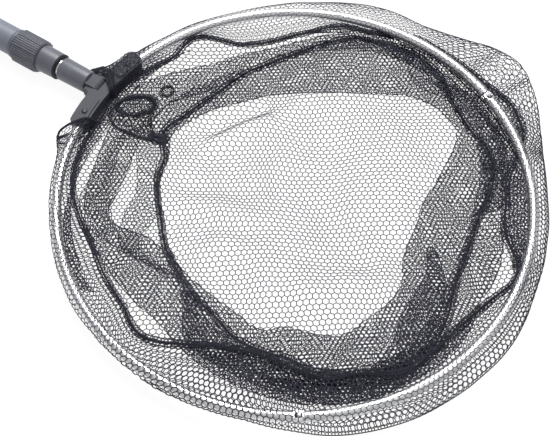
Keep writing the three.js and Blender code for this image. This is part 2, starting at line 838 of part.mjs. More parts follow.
const head = new THREE.Group();
head.position.x = hoopX;
net.add(head);

addPiece(head, 'yoke_top_shell', yokeShell(1), looks.yoke);
addPiece(head, 'yoke_bottom_shell', yokeShell(-1), looks.yoke);
addPiece(head, 'hinge_pin', hingePin(), looks.rivet);
for (const [side, word] of [[-1, 'left'], [1, 'right']]) {
  addPiece(head, `hoop_end_rivet_${word}`, endRivet(side), looks.rivet);
  addPiece(head, `yoke_screw_${word}`, yokeScrew(-side), looks.rivet);
}

const leftEnd = 180 - rodEndAngle;
const rightEnd = rodEndAngle - 180;
addPiece(head, 'hoop_left_bar', hoopSegment(leftSpliceAngle, leftEnd, { from: -1 }), looks.rod);
addPiece(head, 'hoop_far_bar', hoopSegment(rightSpliceAngle, leftSpliceAngle, { from: -1, to: 1 }), looks.rod);
addPiece(head, 'hoop_right_bar', hoopSegment(rightEnd, rightSpliceAngle, { to: 1 }), looks.rod);
addPiece(head, 'splice_rivet_left', spliceRivet(leftSpliceAngle), looks.rivet);
addPiece(head, 'splice_rivet_right', spliceRivet(rightSpliceAngle), looks.rivet);

addPiece(head, 'net_sleeve', netSleeve(), looks.netting);
addPiece(head, 'hem_cord', hemCord(), looks.hem);
addPiece(head, 'net_wall', netWall(), looks.netting);
addPiece(head, 'bottom_seam', bottomSeam(), looks.hem);
addPiece(head, 'net_bottom', netBottom(), looks.netting);

export default net;
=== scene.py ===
import bpy
import bmesh
import json
import math
from mathutils import Matrix, Vector, noise


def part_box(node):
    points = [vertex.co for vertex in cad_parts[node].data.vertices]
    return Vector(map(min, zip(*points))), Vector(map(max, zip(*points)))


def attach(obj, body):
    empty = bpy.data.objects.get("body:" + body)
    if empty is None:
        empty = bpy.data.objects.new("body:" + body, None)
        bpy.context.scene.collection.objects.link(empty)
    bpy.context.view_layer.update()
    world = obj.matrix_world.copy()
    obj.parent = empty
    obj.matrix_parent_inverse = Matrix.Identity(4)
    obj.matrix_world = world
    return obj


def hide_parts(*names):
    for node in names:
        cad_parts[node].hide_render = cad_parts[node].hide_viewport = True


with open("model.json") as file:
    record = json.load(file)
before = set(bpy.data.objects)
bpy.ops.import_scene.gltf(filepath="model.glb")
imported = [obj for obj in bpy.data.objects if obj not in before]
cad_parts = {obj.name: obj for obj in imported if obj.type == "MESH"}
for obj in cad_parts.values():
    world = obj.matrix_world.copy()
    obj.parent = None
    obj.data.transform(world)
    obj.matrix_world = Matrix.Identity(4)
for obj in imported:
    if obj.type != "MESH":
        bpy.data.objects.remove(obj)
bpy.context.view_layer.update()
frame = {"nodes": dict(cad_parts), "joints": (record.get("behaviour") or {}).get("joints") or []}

mm = 0.001  # pieces are drawn in millimetres and brought to metres when they are finished
fullTurn = 2 * math.pi
noise.seed_set(7)  # without a seed of its own, vector noise differs from run to run


def nodeBox(name):
    low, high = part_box(name)
    return low / mm, high / mm


# Places that several pieces share, taken from the frame
hoop = {"radius": 200, "barRadius": 4.5}
hoopCentre = Vector((nodeBox("hoop_far_bar")[1].x - hoop["radius"] - hoop["barRadius"], 0, 0))
foldJoint = next(joint for joint in frame["joints"] if joint["name"] == "head_fold")
pinX = foldJoint["pos_m"][0] / mm
floorZ = nodeBox("net_bottom")[0].z


# Shader helpers

def addNode(tree, kind, **settings):
    node = tree.nodes.new(kind)
    for key, value in settings.items():
        setattr(node, key, value)
    return node


def fill(node, **values):
    for key, value in values.items():
        node.inputs[key.replace("_", " ")].default_value = value
    return node


def newGroup(name, inputs, outputs):
    tree = bpy.data.node_groups.new(name, "ShaderNodeTree")
    for label, kind in inputs:
        tree.interface.new_socket(label, in_out="INPUT", socket_type=kind)
    for label, kind in outputs:
        tree.interface.new_socket(label, in_out="OUTPUT", socket_type=kind)
    return tree, addNode(tree, "NodeGroupInput"), addNode(tree, "NodeGroupOutput")


# Fine moulded or sprayed grain: a height for bump and a slow mottle for colour and gloss
def makeGrain():
    tree, start, end = newGroup(
        "surfaceGrain",
        [("Vector", "NodeSocketVector"), ("Fine", "NodeSocketFloat"), ("Slow", "NodeSocketFloat")],
        [("Height", "NodeSocketFloat"), ("Mottle", "NodeSocketFloat")],
    )
    fine = fill(addNode(tree, "ShaderNodeTexNoise"), Detail=3, Roughness=0.6)
    slow = fill(addNode(tree, "ShaderNodeTexNoise"), Detail=4, Roughness=0.55)
    for texture, label in ((fine, "Fine"), (slow, "Slow")):
        tree.links.new(start.outputs["Vector"], texture.inputs["Vector"])
        tree.links.new(start.outputs[label], texture.inputs["Scale"])
    tree.links.new(fine.outputs["Fac"], end.inputs["Height"])
    tree.links.new(slow.outputs["Fac"], end.inputs["Mottle"])
    return tree


# Lines left by drawing a bar or tube through a die, running along X
def makeStreaks():
    tree, start, end = newGroup(
        "drawnStreaks",
        [("Vector", "NodeSocketVector"), ("Scale", "NodeSocketFloat")],
        [("Streak", "NodeSocketFloat"), ("Scuff", "NodeSocketFloat")],
    )
    stretch = fill(addNode(tree, "ShaderNodeMapping"), Scale=(0.012, 1, 1))
    lines = fill(addNode(tree, "ShaderNodeTexNoise"), Detail=5, Roughness=0.7)
    blots = fill(addNode(tree, "ShaderNodeTexNoise"), Scale=90, Detail=6, Roughness=0.65)
    ramp = addNode(tree, "ShaderNodeValToRGB")
    ramp.color_ramp.elements[0].position = 0.52
    ramp.color_ramp.elements[1].position = 0.72
    tree.links.new(start.outputs["Vector"], stretch.inputs["Vector"])
    tree.links.new(stretch.outputs["Vector"], lines.inputs["Vector"])
    tree.links.new(start.outputs["Scale"], lines.inputs["Scale"])
    tree.links.new(start.outputs["Vector"], blots.inputs["Vector"])
    tree.links.new(blots.outputs["Fac"], ramp.inputs["Fac"])
    tree.links.new(lines.outputs["Fac"], end.inputs["Streak"])
    tree.links.new(ramp.outputs["Color"], end.inputs["Scuff"])
    return tree


grainGroup = makeGrain()
streakGroup = makeStreaks()


class Look:
    # A material with its shader, Object coordinates and a few shorthand links
    def __init__(self, name, **values):
        self.material = bpy.data.materials.new(name)
        self.material.use_nodes = True
        self.tree = self.material.node_tree
        self.shader = self.tree.nodes["Principled BSDF"]
        self.place = addNode(self.tree, "ShaderNodeTexCoord").outputs["Object"]
        fill(self.shader, **values)

    def group(self, tree, vector=None, **values):
        node = fill(addNode(self.tree, "ShaderNodeGroup", node_tree=tree), **values)
        self.tree.links.new(vector or self.place, node.inputs["Vector"])
        return node

    def between(self, factor, low, high, socket):
        mix = addNode(self.tree, "ShaderNodeMix", data_type="RGBA")
        mix.inputs["A"].default_value = (*low, 1)
        mix.inputs["B"].default_value = (*high, 1)
        self.tree.links.new(factor, mix.inputs["Factor"])
        self.tree.links.new(mix.outputs["Result"], self.shader.inputs[socket])

    def range(self, factor, low, high, socket):
        span = fill(addNode(self.tree, "ShaderNodeMapRange"), To_Min=low, To_Max=high)
        self.tree.links.new(factor, span.inputs["Value"])
        self.tree.links.new(span.outputs["Result"], self.shader.inputs[socket])

    def bump(self, height, strength, distance):
        node = fill(addNode(self.tree, "ShaderNodeBump"), Strength=strength, Distance=distance)
        self.tree.links.new(height, node.inputs["Height"])
        self.tree.links.new(node.outputs["Normal"], self.shader.inputs["Normal"])


# What finishes share: size of the mottle, how far the roughness strays, and strengths and depths of the bump
finish = {"mottle": 140, "smoother": 0.07, "rougher": 0.08, "grainDepth": 0.00012, "scuffed": 0.18,
          "metalBump": 0.12, "streakDepth": 0.0001}


def plasticLook(name, dark, pale, roughness, fine, bump):
    look = Look(name, Specular_IOR_Level=0.5)
    grain = look.group(grainGroup, Fine=fine, Slow=finish["mottle"])
    mottle = grain.outputs["Mottle"]
    look.between(mottle, dark, pale, "Base Color")
    look.range(mottle, roughness - finish["smoother"], roughness + finish["rougher"], "Roughness")
    look.bump(grain.outputs["Height"], bump, finish["grainDepth"])
    return look.material


# Drawn metal, with its streaks and scuffs laid along a vector
def drawnMetal(look, vector, dark, pale, roughness, streak, bump):
    streaks = look.group(streakGroup, vector, Scale=streak)
    look.between(streaks.outputs["Streak"], dark, pale, "Base Color")
    look.range(streaks.outputs["Scuff"], roughness, roughness + finish["scuffed"], "Roughness")
    look.bump(streaks.outputs["Streak"], bump, finish["streakDepth"])
    return look.material


def metalLook(name, dark, pale, roughness, streak):
    look = Look(name, Metallic=1.0)
    return drawnMetal(look, look.place, dark, pale, roughness, streak, finish["metalBump"])


# Drawn lines on the hoop run round its centre, so they hang on radius and height, not on X
def hoopBarLook():
    look = Look("brightHoopBar", Metallic=1.0)
    mapping = fill(addNode(look.tree, "ShaderNodeMapping"), Location=(-hoopCentre.x * mm, 0, 0))
    parts = addNode(look.tree, "ShaderNodeSeparateXYZ")
    flat = addNode(look.tree, "ShaderNodeCombineXYZ")
    length = addNode(look.tree, "ShaderNodeVectorMath", operation="LENGTH")
    around = addNode(look.tree, "ShaderNodeCombineXYZ")
    look.tree.links.new(look.place, mapping.inputs["Vector"])
    look.tree.links.new(mapping.outputs["Vector"], parts.inputs["Vector"])
    for axis in "XY":
        look.tree.links.new(parts.outputs[axis], flat.inputs[axis])
    look.tree.links.new(flat.outputs["Vector"], length.inputs[0])
    look.tree.links.new(parts.outputs["X"], around.inputs["X"])
    look.tree.links.new(length.outputs["Value"], around.inputs["Y"])
    look.tree.links.new(parts.outputs["Z"], around.inputs["Z"])
    return drawnMetal(
        look, around.outputs["Vector"], (0.82, 0.825, 0.84), (0.96, 0.963, 0.975), roughness=0.36, streak=900, bump=0.1)


# Knitted polyester: near black with a violet cast, softly glossy on the threads
def nettingLook(name, dark, pale):
    look = Look(name, Specular_IOR_Level=0.25)
    grain = look.group(grainGroup, Fine=2600, Slow=55)
    look.between(grain.outputs["Mottle"], dark, pale, "Base Color")
    look.range(grain.outputs["Height"], 0.5, 0.75, "Roughness")
    look.bump(grain.outputs["Height"], 0.4, 0.0001)
    return look.material


# Dark and pale colour, roughness, fineness of the grain and strength of its bump
plastics = {
    "polePaint": ((0.138, 0.15, 0.186), (0.168, 0.182, 0.225), 0.48, 1800, 0.12),
    "lockPlastic": ((0.09, 0.094, 0.116), (0.114, 0.118, 0.145), 0.4, 2400, 0.2),
    "yokePlastic": ((0.028, 0.03, 0.041), (0.041, 0.044, 0.059), 0.6, 2200, 0.32),
    "blackRubber": ((0.006, 0.006, 0.008), (0.011, 0.011, 0.013), 0.6, 3000, 0.4),
    "gripFoam": ((0.011, 0.011, 0.013), (0.022, 0.022, 0.025), 0.86, 900, 0.9),
}
# Dark and pale colour, roughness and fineness of the streaks
metals = {
    "brightTube": ((0.7, 0.71, 0.73), (0.88, 0.88, 0.89), 0.12, 1200),
    "rivetMetal": ((0.55, 0.56, 0.58), (0.78, 0.79, 0.8), 0.26, 1500),
    "dullRivet": ((0.04, 0.041, 0.046), (0.085, 0.087, 0.095), 0.5, 1500),
}
looks = {name: plasticLook(name, *values) for name, values in plastics.items()}
looks.update({name: metalLook(name, *values) for name, values in metals.items()})
looks["hoopBar"] = hoopBarLook()
looks["netting"] = nettingLook("netting", (0.02, 0.0205, 0.033), (0.042, 0.043, 0.067))
looks["hemThread"] = nettingLook("hemThread", (0.016, 0.0165, 0.026), (0.034, 0.035, 0.053))
print("looks:", len(looks))


# Mesh helpers

detail = {"weld": 0.002, "near": 0.01, "steps": 96, "fineSteps": 128, "cornerSegments": 4}


def finishPiece(name, bm, look, body, replaced=(), sharp=38):
    bmesh.ops.remove_doubles(bm, verts=bm.verts, dist=detail["weld"])
    bmesh.ops.recalc_face_normals(bm, faces=bm.faces)
    bmesh.ops.scale(bm, vec=(mm, mm, mm), verts=bm.verts)
    mesh = bpy.data.meshes.new(name)
    bm.to_mesh(mesh)
    bm.free()
    mesh.shade_smooth()
    if sharp:
        mesh.set_sharp_from_angle(angle=math.radians(sharp))
    mesh.materials.append(looks[look])
    piece = bpy.data.objects.new(name, mesh)
    bpy.context.scene.collection.objects.link(piece)
    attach(piece, body)
    if replaced:
        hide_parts(*replaced)
    return piece


# Adds a part to a piece; the part is used up
def addTo(bm, part):
    spare = bpy.data.meshes.new("sparePart")
    part.to_mesh(spare)
    part.free()
    bm.from_mesh(spare)
    bpy.data.meshes.remove(spare)


def turnMesh(bm, angle, axis):
    bmesh.ops.rotate(bm, cent=(0, 0, 0), matrix=Matrix.Rotation(angle, 3, axis), verts=bm.verts)


def moveMesh(bm, by):
    bmesh.ops.translate(bm, vec=by, verts=bm.verts)


def allOf(bm):
    return bm.verts[:] + bm.edges[:] + bm.faces[:]


def vertsIn(items):
    return [item for item in items if isinstance(item, bmesh.types.BMVert)]


def drawLoop(bm, points):
    verts = [bm.verts.new(point) for point in points]
    for pair in zip(verts, verts[1:] + verts[:1]):
        bm.edges.new(pair)
    return verts


def roundOff(bm, items, radius, segments, affect="EDGES", clamp=False):
    bmesh.ops.bevel(
        bm, geom=items, offset=radius, offset_type="OFFSET", affect=affect, segments=segments, profile=0.5,
        material=-1, clamp_overlap=clamp)


# Spins a closed profile round X; each point is (along, radius) or (along, radius, rounding)
def lathe(profile, steps=detail["steps"]):
    bm = bmesh.new()
    verts = drawLoop(bm, [(point[0], 0, point[1]) for point in profile])
    for vert, point in zip(verts, profile):
        if len(point) > 2:
            roundOff(bm, [vert], point[2], detail["cornerSegments"], "VERTICES")
    bmesh.ops.spin(
        bm, geom=bm.verts[:] + bm.edges[:], cent=(0, 0, 0), axis=(1, 0, 0), angle=fullTurn, steps=steps,
        use_merge=True)
    return bm


# A plain tube with rounded ends, as long and as wide as its CAD node
def makeTube(name, node, bore, rounding, look, body, steps=detail["fineSteps"]):
    low, high = nodeBox(node)
    bm = lathe([(low.x, bore), (low.x, high.z, rounding), (high.x, high.z, rounding), (high.x, bore)], steps)
    finishPiece(name, bm, look, body, [node])


# Pole: outer tube, rear cap and grip

poleTube = {"radius": nodeBox("outer_tube")[1].z, "wall": 1.2, "edge": 0.4}
rearCap = {"flange": 5, "flangeRounding": 0.6, "crown": 2.2, "plugRadius": 11.4, "plugRounding": 0.8,
           "dish": 0.8, "dishRadius": 9, "dishSlope": 1, "dishRounding": 0.6, "rimRounding": 0.5}


def makeRearCap():
    low, high = nodeBox("rear_end_cap")
    dishX = low.x + rearCap["dish"]
    bm = lathe([
        (dishX, 0),
        (dishX, rearCap["dishRadius"] - rearCap["dishSlope"], rearCap["dishRounding"]),
        (low.x, rearCap["dishRadius"], rearCap["rimRounding"]),
        (low.x, high.z, rearCap["crown"]),
        (rearCap["flange"], high.z, rearCap["flangeRounding"]),
        (rearCap["flange"], rearCap["plugRadius"]),
        (high.x, rearCap["plugRadius"], rearCap["plugRounding"]),
        (high.x, 0),
    ])
    finishPiece("pole_rear_cap", bm, "blackRubber", "pole", ["rear_end_cap"])


grip = {"grooves": 5, "grooveDepth": 1.3, "grooveHalf": 2.6, "grooveRounding": 1.2, "lipRounding": 0.9,
        "endRounding": 3, "fit": 0.3}


def makeGrip():
    low, high = nodeBox("grip_sleeve")
    bore = poleTube["radius"] + grip["fit"]
    spacing = (high.x - low.x) / (grip["grooves"] + 1)
    profile = [(low.x, bore), (low.x, high.z, grip["endRounding"])]
    for i in range(1, grip["grooves"] + 1):
        middle = low.x + i * spacing
        profile.append((middle - grip["grooveHalf"], high.z, grip["lipRounding"]))
        profile.append((middle, high.z - grip["grooveDepth"], grip["grooveRounding"]))
        profile.append((middle + grip["grooveHalf"], high.z, grip["lipRounding"]))
    profile += [(high.x, high.z, grip["endRounding"]), (high.x, bore)]
    finishPiece("pole_grip", lathe(profile), "gripFoam", "pole", ["grip_sleeve"])


makeTube("pole_outer_tube", "outer_tube", poleTube["radius"] - poleTube["wall"], poleTube["edge"],
         "polePaint", "pole")
makeRearCap()
makeGrip()
print("pole: tube, cap and grip")


# Twist lock

lock = {"lipLength": 3.6, "lipRounding": 0.9, "barrelRadius": 12.4, "noseRear": 12.5, "noseFront": 12.0,
        "noseRounding": 0.5, "shoulderRounding": 0.4, "bore": 9.3, "spigotRadius": 11.5, "fit": 0.3,
        "sealRounding": 0.8}
innerTube = {"radius": nodeBox("inner_tube")[1].z, "wall": 1, "edge": 0.2}


def makeLockSleeve():
    low, high = nodeBox("lock_sleeve")
    lipStart = nodeBox("outer_tube")[1].x + lock["fit"]
    lipEnd = lipStart + lock["lipLength"]
    collarEnd = nodeBox("twist_collar")[1].x + lock["fit"]
    bm = lathe([
        (low.x, lock["bore"]),
        (low.x, lock["spigotRadius"]),
        (lipStart, lock["spigotRadius"]),
        (lipStart, high.z, lock["lipRounding"]),
        (lipEnd, high.z, lock["lipRounding"]),
        (lipEnd, lock["barrelRadius"]),
        (collarEnd, lock["barrelRadius"]),
        (collarEnd, lock["noseRear"], lock["shoulderRounding"]),
        (high.x, lock["noseFront"], lock["noseRounding"]),
        (high.x, lock["bore"]),
    ], detail["fineSteps"])
    finishPiece("lock_body", bm, "lockPlastic", "pole", ["lock_sleeve"])


# The shape of a rib is given as (share of its pitch, share of its height)
collar = {"ribs": 45, "tallEvery": 5, "radius": 14.6, "rib": 0.55, "tallRib": 1.0, "bore": 12.7,
          "endDrop": 0.9, "endLength": 1.1, "sharp": 30,
          "ribShape": ((0.0, 0), (0.12, 0.0), (0.26, 0.85), (0.36, 1), (0.64, 1), (0.74, 0.85), (0.88, 0.0))}


# One group of ribs is drawn, spun into the whole outline, then drawn out along the pole
def makeTwistCollar():
    low, high = nodeBox("twist_collar")
    pitch = fullTurn / collar["ribs"]
    group = []
    for rib in range(collar["tallEvery"]):
        height = collar["tallRib"] if rib == 0 else collar["rib"]
        group += [((rib + share) * pitch, collar["radius"] + rise * height) for share, rise in collar["ribShape"]]
    group.append((collar["tallEvery"] * pitch, collar["radius"]))
    bm = bmesh.new()
    outline = [bm.verts.new((low.x, radius * math.cos(turn), radius * math.sin(turn))) for turn, radius in group]
    for pair in zip(outline, outline[1:]):
        bm.edges.new(pair)
    sectors = collar["ribs"] // collar["tallEvery"]
    bmesh.ops.spin(
        bm, geom=bm.verts[:] + bm.edges[:], cent=(0, 0, 0), axis=(1, 0, 0), use_duplicate=True,
        angle=fullTurn * (sectors - 1) / sectors, steps=sectors - 1)
    bmesh.ops.remove_doubles(bm, verts=bm.verts, dist=detail["near"])
    rings = [bm.edges[:]]
    middle = high.x - low.x - 2 * collar["endLength"]
    for step in (collar["endLength"], middle, collar["endLength"]):
        grown = bmesh.ops.extrude_edge_only(bm, edges=rings[-1])["geom"]
        verts = set(vertsIn(grown))
        bmesh.ops.translate(bm, vec=(step, 0, 0), verts=list(verts))
        rings.append([item for item in grown if isinstance(item, bmesh.types.BMEdge) and verts.issuperset(item.verts)])
    shrink = (collar["radius"] - collar["endDrop"]) / collar["radius"]
    for ring in (rings[0], rings[-1]):
        verts = list({vert for edge in ring for vert in edge.verts})
        bmesh.ops.scale(bm, vec=(1, shrink, shrink), verts=verts)
        for vert in vertsIn(bmesh.ops.extrude_edge_only(bm, edges=ring)["geom"]):
            across = Vector((0, vert.co.y, vert.co.z)).normalized() * collar["bore"]
            vert.co = Vector((vert.co.x, across.y, across.z))
    bmesh.ops.bridge_loops(bm, edges=[edge for edge in bm.edges if edge.is_boundary])
    finishPiece(
        "lock_twist_collar", bm, "lockPlastic", "collar", ["twist_collar"], collar["sharp"])


makeLockSleeve()
makeTube("lock_mouth_ring", "mouth_seal", lock["bore"], lock["sealRounding"],
         "blackRubber", "pole", detail["steps"])
makeTwistCollar()
makeTube("pole_inner_tube", "inner_tube", innerTube["radius"] - innerTube["wall"], innerTube["edge"],
         "brightTube", "slider")
print("twist lock: body, collar, mouth ring and inner tube")


# Socket shank with the tongue of the fold hinge

shank = {"rear": 10.8, "front": 10.2, "length": 29.6, "bore": 9.3, "web": 6, "rounding": 0.8,
         "tongueHalf": 6.5, "tongueRadius": 7, "tongueSteps": 20, "darkFrom": 0.05}


def makeShank():
    low, _ = nodeBox("socket_shank")
    front = low.x + shank["length"]
    bm = lathe([
        (low.x, shank["bore"]),
        (low.x, shank["rear"], shank["rounding"]),
        (front, shank["front"], shank["rounding"]),
        (front, 0),
        (front - shank["web"], 0),
        (front - shank["web"], shank["bore"]),
    ], detail["fineSteps"])
    # side view of the tongue, drawn out from one side to the other
    half, radius = shank["tongueHalf"], shank["tongueRadius"]
    first = bm.verts.new((pinX, -half, -radius))
    swept = bmesh.ops.spin(
        bm, geom=[first], cent=(pinX, 0, 0), axis=(0, -1, 0), angle=math.pi, steps=shank["tongueSteps"])["geom_last"]
    back = front - shank["web"] / 2
    rear = [bm.verts.new((back, -half, radius)), bm.verts.new((back, -half, -radius))]
    for pair in zip(vertsIn(swept) + rear, rear + [first]):
        bm.edges.new(pair)
    side = bmesh.ops.contextual_create(bm, geom=[edge for edge in bm.edges if edge.is_wire])["faces"]
    grown = bmesh.ops.extrude_face_region(bm, geom=side)["geom"]
    bmesh.ops.translate(bm, vec=(0, 2 * half, 0), verts=vertsIn(grown))
    piece = finishPiece("socket_shank_body", bm, "lockPlastic", "slider", ["socket_shank"])
    piece.data.materials.append(looks["yokePlastic"])
    for face in piece.data.polygons:
        if face.center.x > (front + shank["darkFrom"]) * mm:
            face.material_index = 1


# Shares of a rivet head's radius or height
rivetHead = {"stem": 0.5, "seat": 0.1, "shoulder": 0.75, "shoulderRadius": 0.72, "crown": 0.3,
             "seatRounding": 0.1, "steps": 40}


# A low round head on +Z or -Z, with its stem sunk into the piece below it
def makeRivet(name, node, look, body, faces, radius, height):
    low, high = nodeBox(node)
    middle = (low + high) / 2
    stem = radius * rivetHead["stem"]
    bm = bmesh.new()
    for face in faces:
        head = lathe([
            (-height, 0), (-height, stem), (0, stem), (0, radius),
            (height * rivetHead["seat"], radius, rivetHead["seatRounding"]),
            (height * rivetHead["shoulder"], radius * rivetHead["shoulderRadius"], height * rivetHead["crown"]),
            (height, 0),
        ], rivetHead["steps"])
        turnMesh(head, -face * math.pi / 2, "Y")
        moveMesh(head, (middle.x, middle.y, high.z - height if face > 0 else low.z + height))
        addTo(bm, head)
    finishPiece(name, bm, look, body, [node])


makeShank()
makeRivet("shank_rivet_head", "shank_rivet", "rivetMetal", "slider", [-1], radius=2.6, height=1.3)
print("shank: socket, tongue and rivet")


# Yoke: two moulded shells with arms that follow the hoop

yoke = {"halfHeight": 7, "part": 0.15, "edge": 2.5, "sharp": 32, "cornerSegments": 6,
        "hubHalf": 10.9, "hubFillet": 4.2, "hubRounding": 0.8, "slotHalf": 6.9, "slotReach": 7.4, "slotRounding": 1,
        "swing": 7.7, "cheek": 0.9, "cheekSpare": 0.5, "thinnest": 0.6,
        "armWidth": 16, "armReach": 13, "armFrom": 4, "armSteps": 8, "tipRounding": 7.7,
        "ribFrom": 4.5, "ribTo": 11.6, "ribWidth": 3.2, "ribHeight": 1.1, "ribInset": 2.0, "ribSunk": 1,
        "ribRounding": 0.5, "ribAbove": 0.5}


def aroundHoop(radius, degrees, z=0):
    turn = math.radians(degrees)
    return hoopCentre + Vector((radius * math.cos(turn), radius * math.sin(turn), z))


def hoopArc(radius, start, end, steps):
    return [aroundHoop(radius, start + (end - start) * i / steps) for i in range(steps + 1)]


# Plan of hub and arms; corners listed with a rounding are rounded afterwards
def yokeOutline(bm):
    inner = hoop["radius"] - yoke["armWidth"] / 2
    outer = hoop["radius"] + yoke["armWidth"] / 2
    rear = pinX - shank["tongueRadius"]
    slotFront = pinX + yoke["slotReach"]
    hubTurn = math.degrees(math.asin(yoke["hubHalf"] / outer))
    halves = []
    for side in (-1, 1):
        tip = 180 - side * yoke["armReach"]
        arm = hoopArc(outer, 180 - side * (hubTurn + yoke["armFrom"]), tip, yoke["armSteps"])
        halves.append([
            (Vector((slotFront, side * yoke["slotHalf"], 0)), yoke["slotRounding"]),
            (Vector((rear, side * yoke["slotHalf"], 0)), yoke["hubRounding"]),
            (Vector((rear, side * yoke["hubHalf"], 0)), yoke["hubRounding"]),
            (aroundHoop(outer, 180 - side * hubTurn), yoke["hubFillet"]),
            *((point, None) for point in arm[:-1]),
            (arm[-1], yoke["tipRounding"]),
            (aroundHoop(inner, tip), yoke["tipRounding"]),
        ])
    innerArc = hoopArc(inner, 180 + yoke["armReach"], 180 - yoke["armReach"], 2 * yoke["armSteps"])[1:-1]
    ring = halves[0] + [(point, None) for point in innerArc] + halves[1][::-1]
    verts = drawLoop(bm, [point for point, _ in ring])
    for vert, (_, rounding) in zip(verts, ring):
        if rounding:
            roundOff(bm, [vert], rounding, yoke["cornerSegments"], "VERTICES")


# A raised rib along the inner edge of one arm of the upper shell
def addArmRib(bm, side):
    inner = hoop["radius"] - yoke["armWidth"] / 2 + yoke["ribInset"]
    outer = inner + yoke["ribWidth"]
    base, top = yoke["halfHeight"] - yoke["ribSunk"], yoke["halfHeight"] + yoke["ribHeight"]
    start = 180 - side * yoke["ribFrom"]
    section = [(inner, base), (inner, top), (outer, top), (outer, base)]
    verts = [bm.verts.new(aroundHoop(radius, start, z)) for radius, z in section]
    face = bm.faces.new(verts)
    bmesh.ops.spin(
        bm, geom=[face] + face.edges[:] + verts, cent=hoopCentre, axis=(0, 0, -side), steps=yoke["armSteps"],
        angle=math.radians(yoke["ribTo"] - yoke["ribFrom"]))
    ribTop = [e for e in bm.edges if all(v.co.z > yoke["halfHeight"] + yoke["ribAbove"] for v in e.verts)]
    roundOff(bm, ribTop, yoke["ribRounding"], 3, clamp=True)


def makeYokeShell(name, node, face):
    bm = bmesh.new()
    yokeOutline(bm)
    bottom = bmesh.ops.contextual_create(bm, geom=bm.edges[:])["faces"]
    upper = vertsIn(bmesh.ops.extrude_face_region(bm, geom=bottom)["geom"])
    moveMesh(bm, (0, 0, yoke["part"]))
    bmesh.ops.translate(bm, vec=(0, 0, yoke["halfHeight"] - yoke["part"]), verts=upper)
    bmesh.ops.recalc_face_normals(bm, faces=bm.faces)
    top = yoke["halfHeight"] - detail["near"]
    cheekEnd = pinX - shank["tongueRadius"] + yoke["cheek"]
    rim = [e for e in bm.edges if all(v.co.z > top for v in e.verts) and any(v.co.x >= cheekEnd for v in e.verts)]
    roundOff(bm, rim, yoke["edge"], detail["cornerSegments"], clamp=True)
    # the cheeks are rounded about the pin
    for vert in bm.verts:
        reach = pinX - vert.co.x
        if reach > 0 and abs(vert.co.y) < yoke["hubHalf"] + yoke["cheekSpare"]:
            limit = math.sqrt(max(0.0, yoke["swing"] ** 2 - reach ** 2))
            vert.co.z = min(vert.co.z, max(limit, yoke["part"] + yoke["thinnest"]))
    if face > 0:
        for side in (-1, 1):
            addArmRib(bm, side)
    else:
        bmesh.ops.scale(bm, vec=(1, 1, -1), verts=bm.verts)
    finishPiece(name, bm, "yokePlastic", "head", [node], yoke["sharp"])


pin = {"proud": 0.25, "rounding": 0.4, "steps": 48}


def makeHingePin():
    low, high = nodeBox("hinge_pin")
    radius = (high.x - low.x) / 2
    half = yoke["hubHalf"] + pin["proud"]
    bm = lathe([(-half, 0), (-half, radius, pin["rounding"]), (half, radius, pin["rounding"]), (half, 0)], pin["steps"])
    turnMesh(bm, math.pi / 2, "Z")
    moveMesh(bm, (pinX, 0, 0))
    finishPiece("fold_hinge_pin", bm, "dullRivet", "head", ["hinge_pin"])


screw = {"proud": 0.4, "sunk": 1.6, "rounding": 0.3}


def makeYokeScrew(name, node):
    low, high = nodeBox(node)
    middle = (low + high) / 2
    radius = (high.x - low.x) / 2
    bm = lathe([
        (-screw["proud"], 0), (-screw["proud"], radius, screw["rounding"]), (screw["sunk"], radius), (screw["sunk"], 0),
    ], rivetHead["steps"])
    turnMesh(bm, -math.pi / 2, "Y")
    moveMesh(bm, (middle.x, middle.y, low.z))
    finishPiece(name, bm, "rivetMetal", "head", [node])


makeYokeShell("yoke_upper_shell", "yoke_top_shell", 1)
makeYokeShell("yoke_lower_shell", "yoke_bottom_shell", -1)
makeHingePin()
for word in ("left", "right"):
    makeRivet(f"arm_rivet_{word}", f"hoop_end_rivet_{word}", "dullRivet", "head", [1, -1], radius=2.6, height=1.2)
    makeYokeScrew(f"yoke_screw_head_{word}", f"yoke_screw_{word}")
print("yoke: shells, pin, rivets and screws")


# Hoop: three bars, half lapped and riveted

splice = {"left": 63.5, "right": -56.5, "eyeRadius": 4.3, "eyeFlat": 3.4, "eyeSides": 36, "eyeRounding": 0.5,
          "gap": 0.15, "shoulder": 0.3, "overlap": 0.3, "rodEnd": 3.6, "sides": 24, "stepDegrees": 1.5, "sharp": 40}


# A length of round bar, or the upper or lower half of one
def addBar(bm, start, end, keepSide=0):
    part = bmesh.new()
    bmesh.ops.create_circle(part, segments=splice["sides"], radius=hoop["barRadius"], cap_ends=True)
    turnMesh(part, math.pi / 2, "X")
    moveMesh(part, (hoop["radius"], 0, 0))
    turnMesh(part, math.radians(start), "Z")
    steps = max(3, round(abs(end - start) / splice["stepDegrees"]))
    bmesh.ops.spin(
        part, geom=allOf(part), cent=(0, 0, 0), axis=(0, 0, 1), angle=math.radians(end - start), steps=steps)
    ends = [face for face in part.faces if len(face.verts) == splice["sides"]]
    if len(ends) < 2:
        bmesh.ops.holes_fill(part, edges=[e for e in part.edges if e.is_boundary], sides=splice["sides"])
    if keepSide:
        bmesh.ops.bisect_plane(
            part, geom=allOf(part), dist=0.001, plane_co=(0, 0, keepSide * splice["gap"]), plane_no=(0, 0, keepSide),
            clear_inner=True)
        bmesh.ops.holes_fill(part, edges=[e for e in part.edges if e.is_boundary], sides=0)
        for vert in part.verts:
            vert.co.z = max(-splice["eyeFlat"], min(splice["eyeFlat"], vert.co.z))
    moveMesh(part, hoopCentre)
    addTo(bm, part)


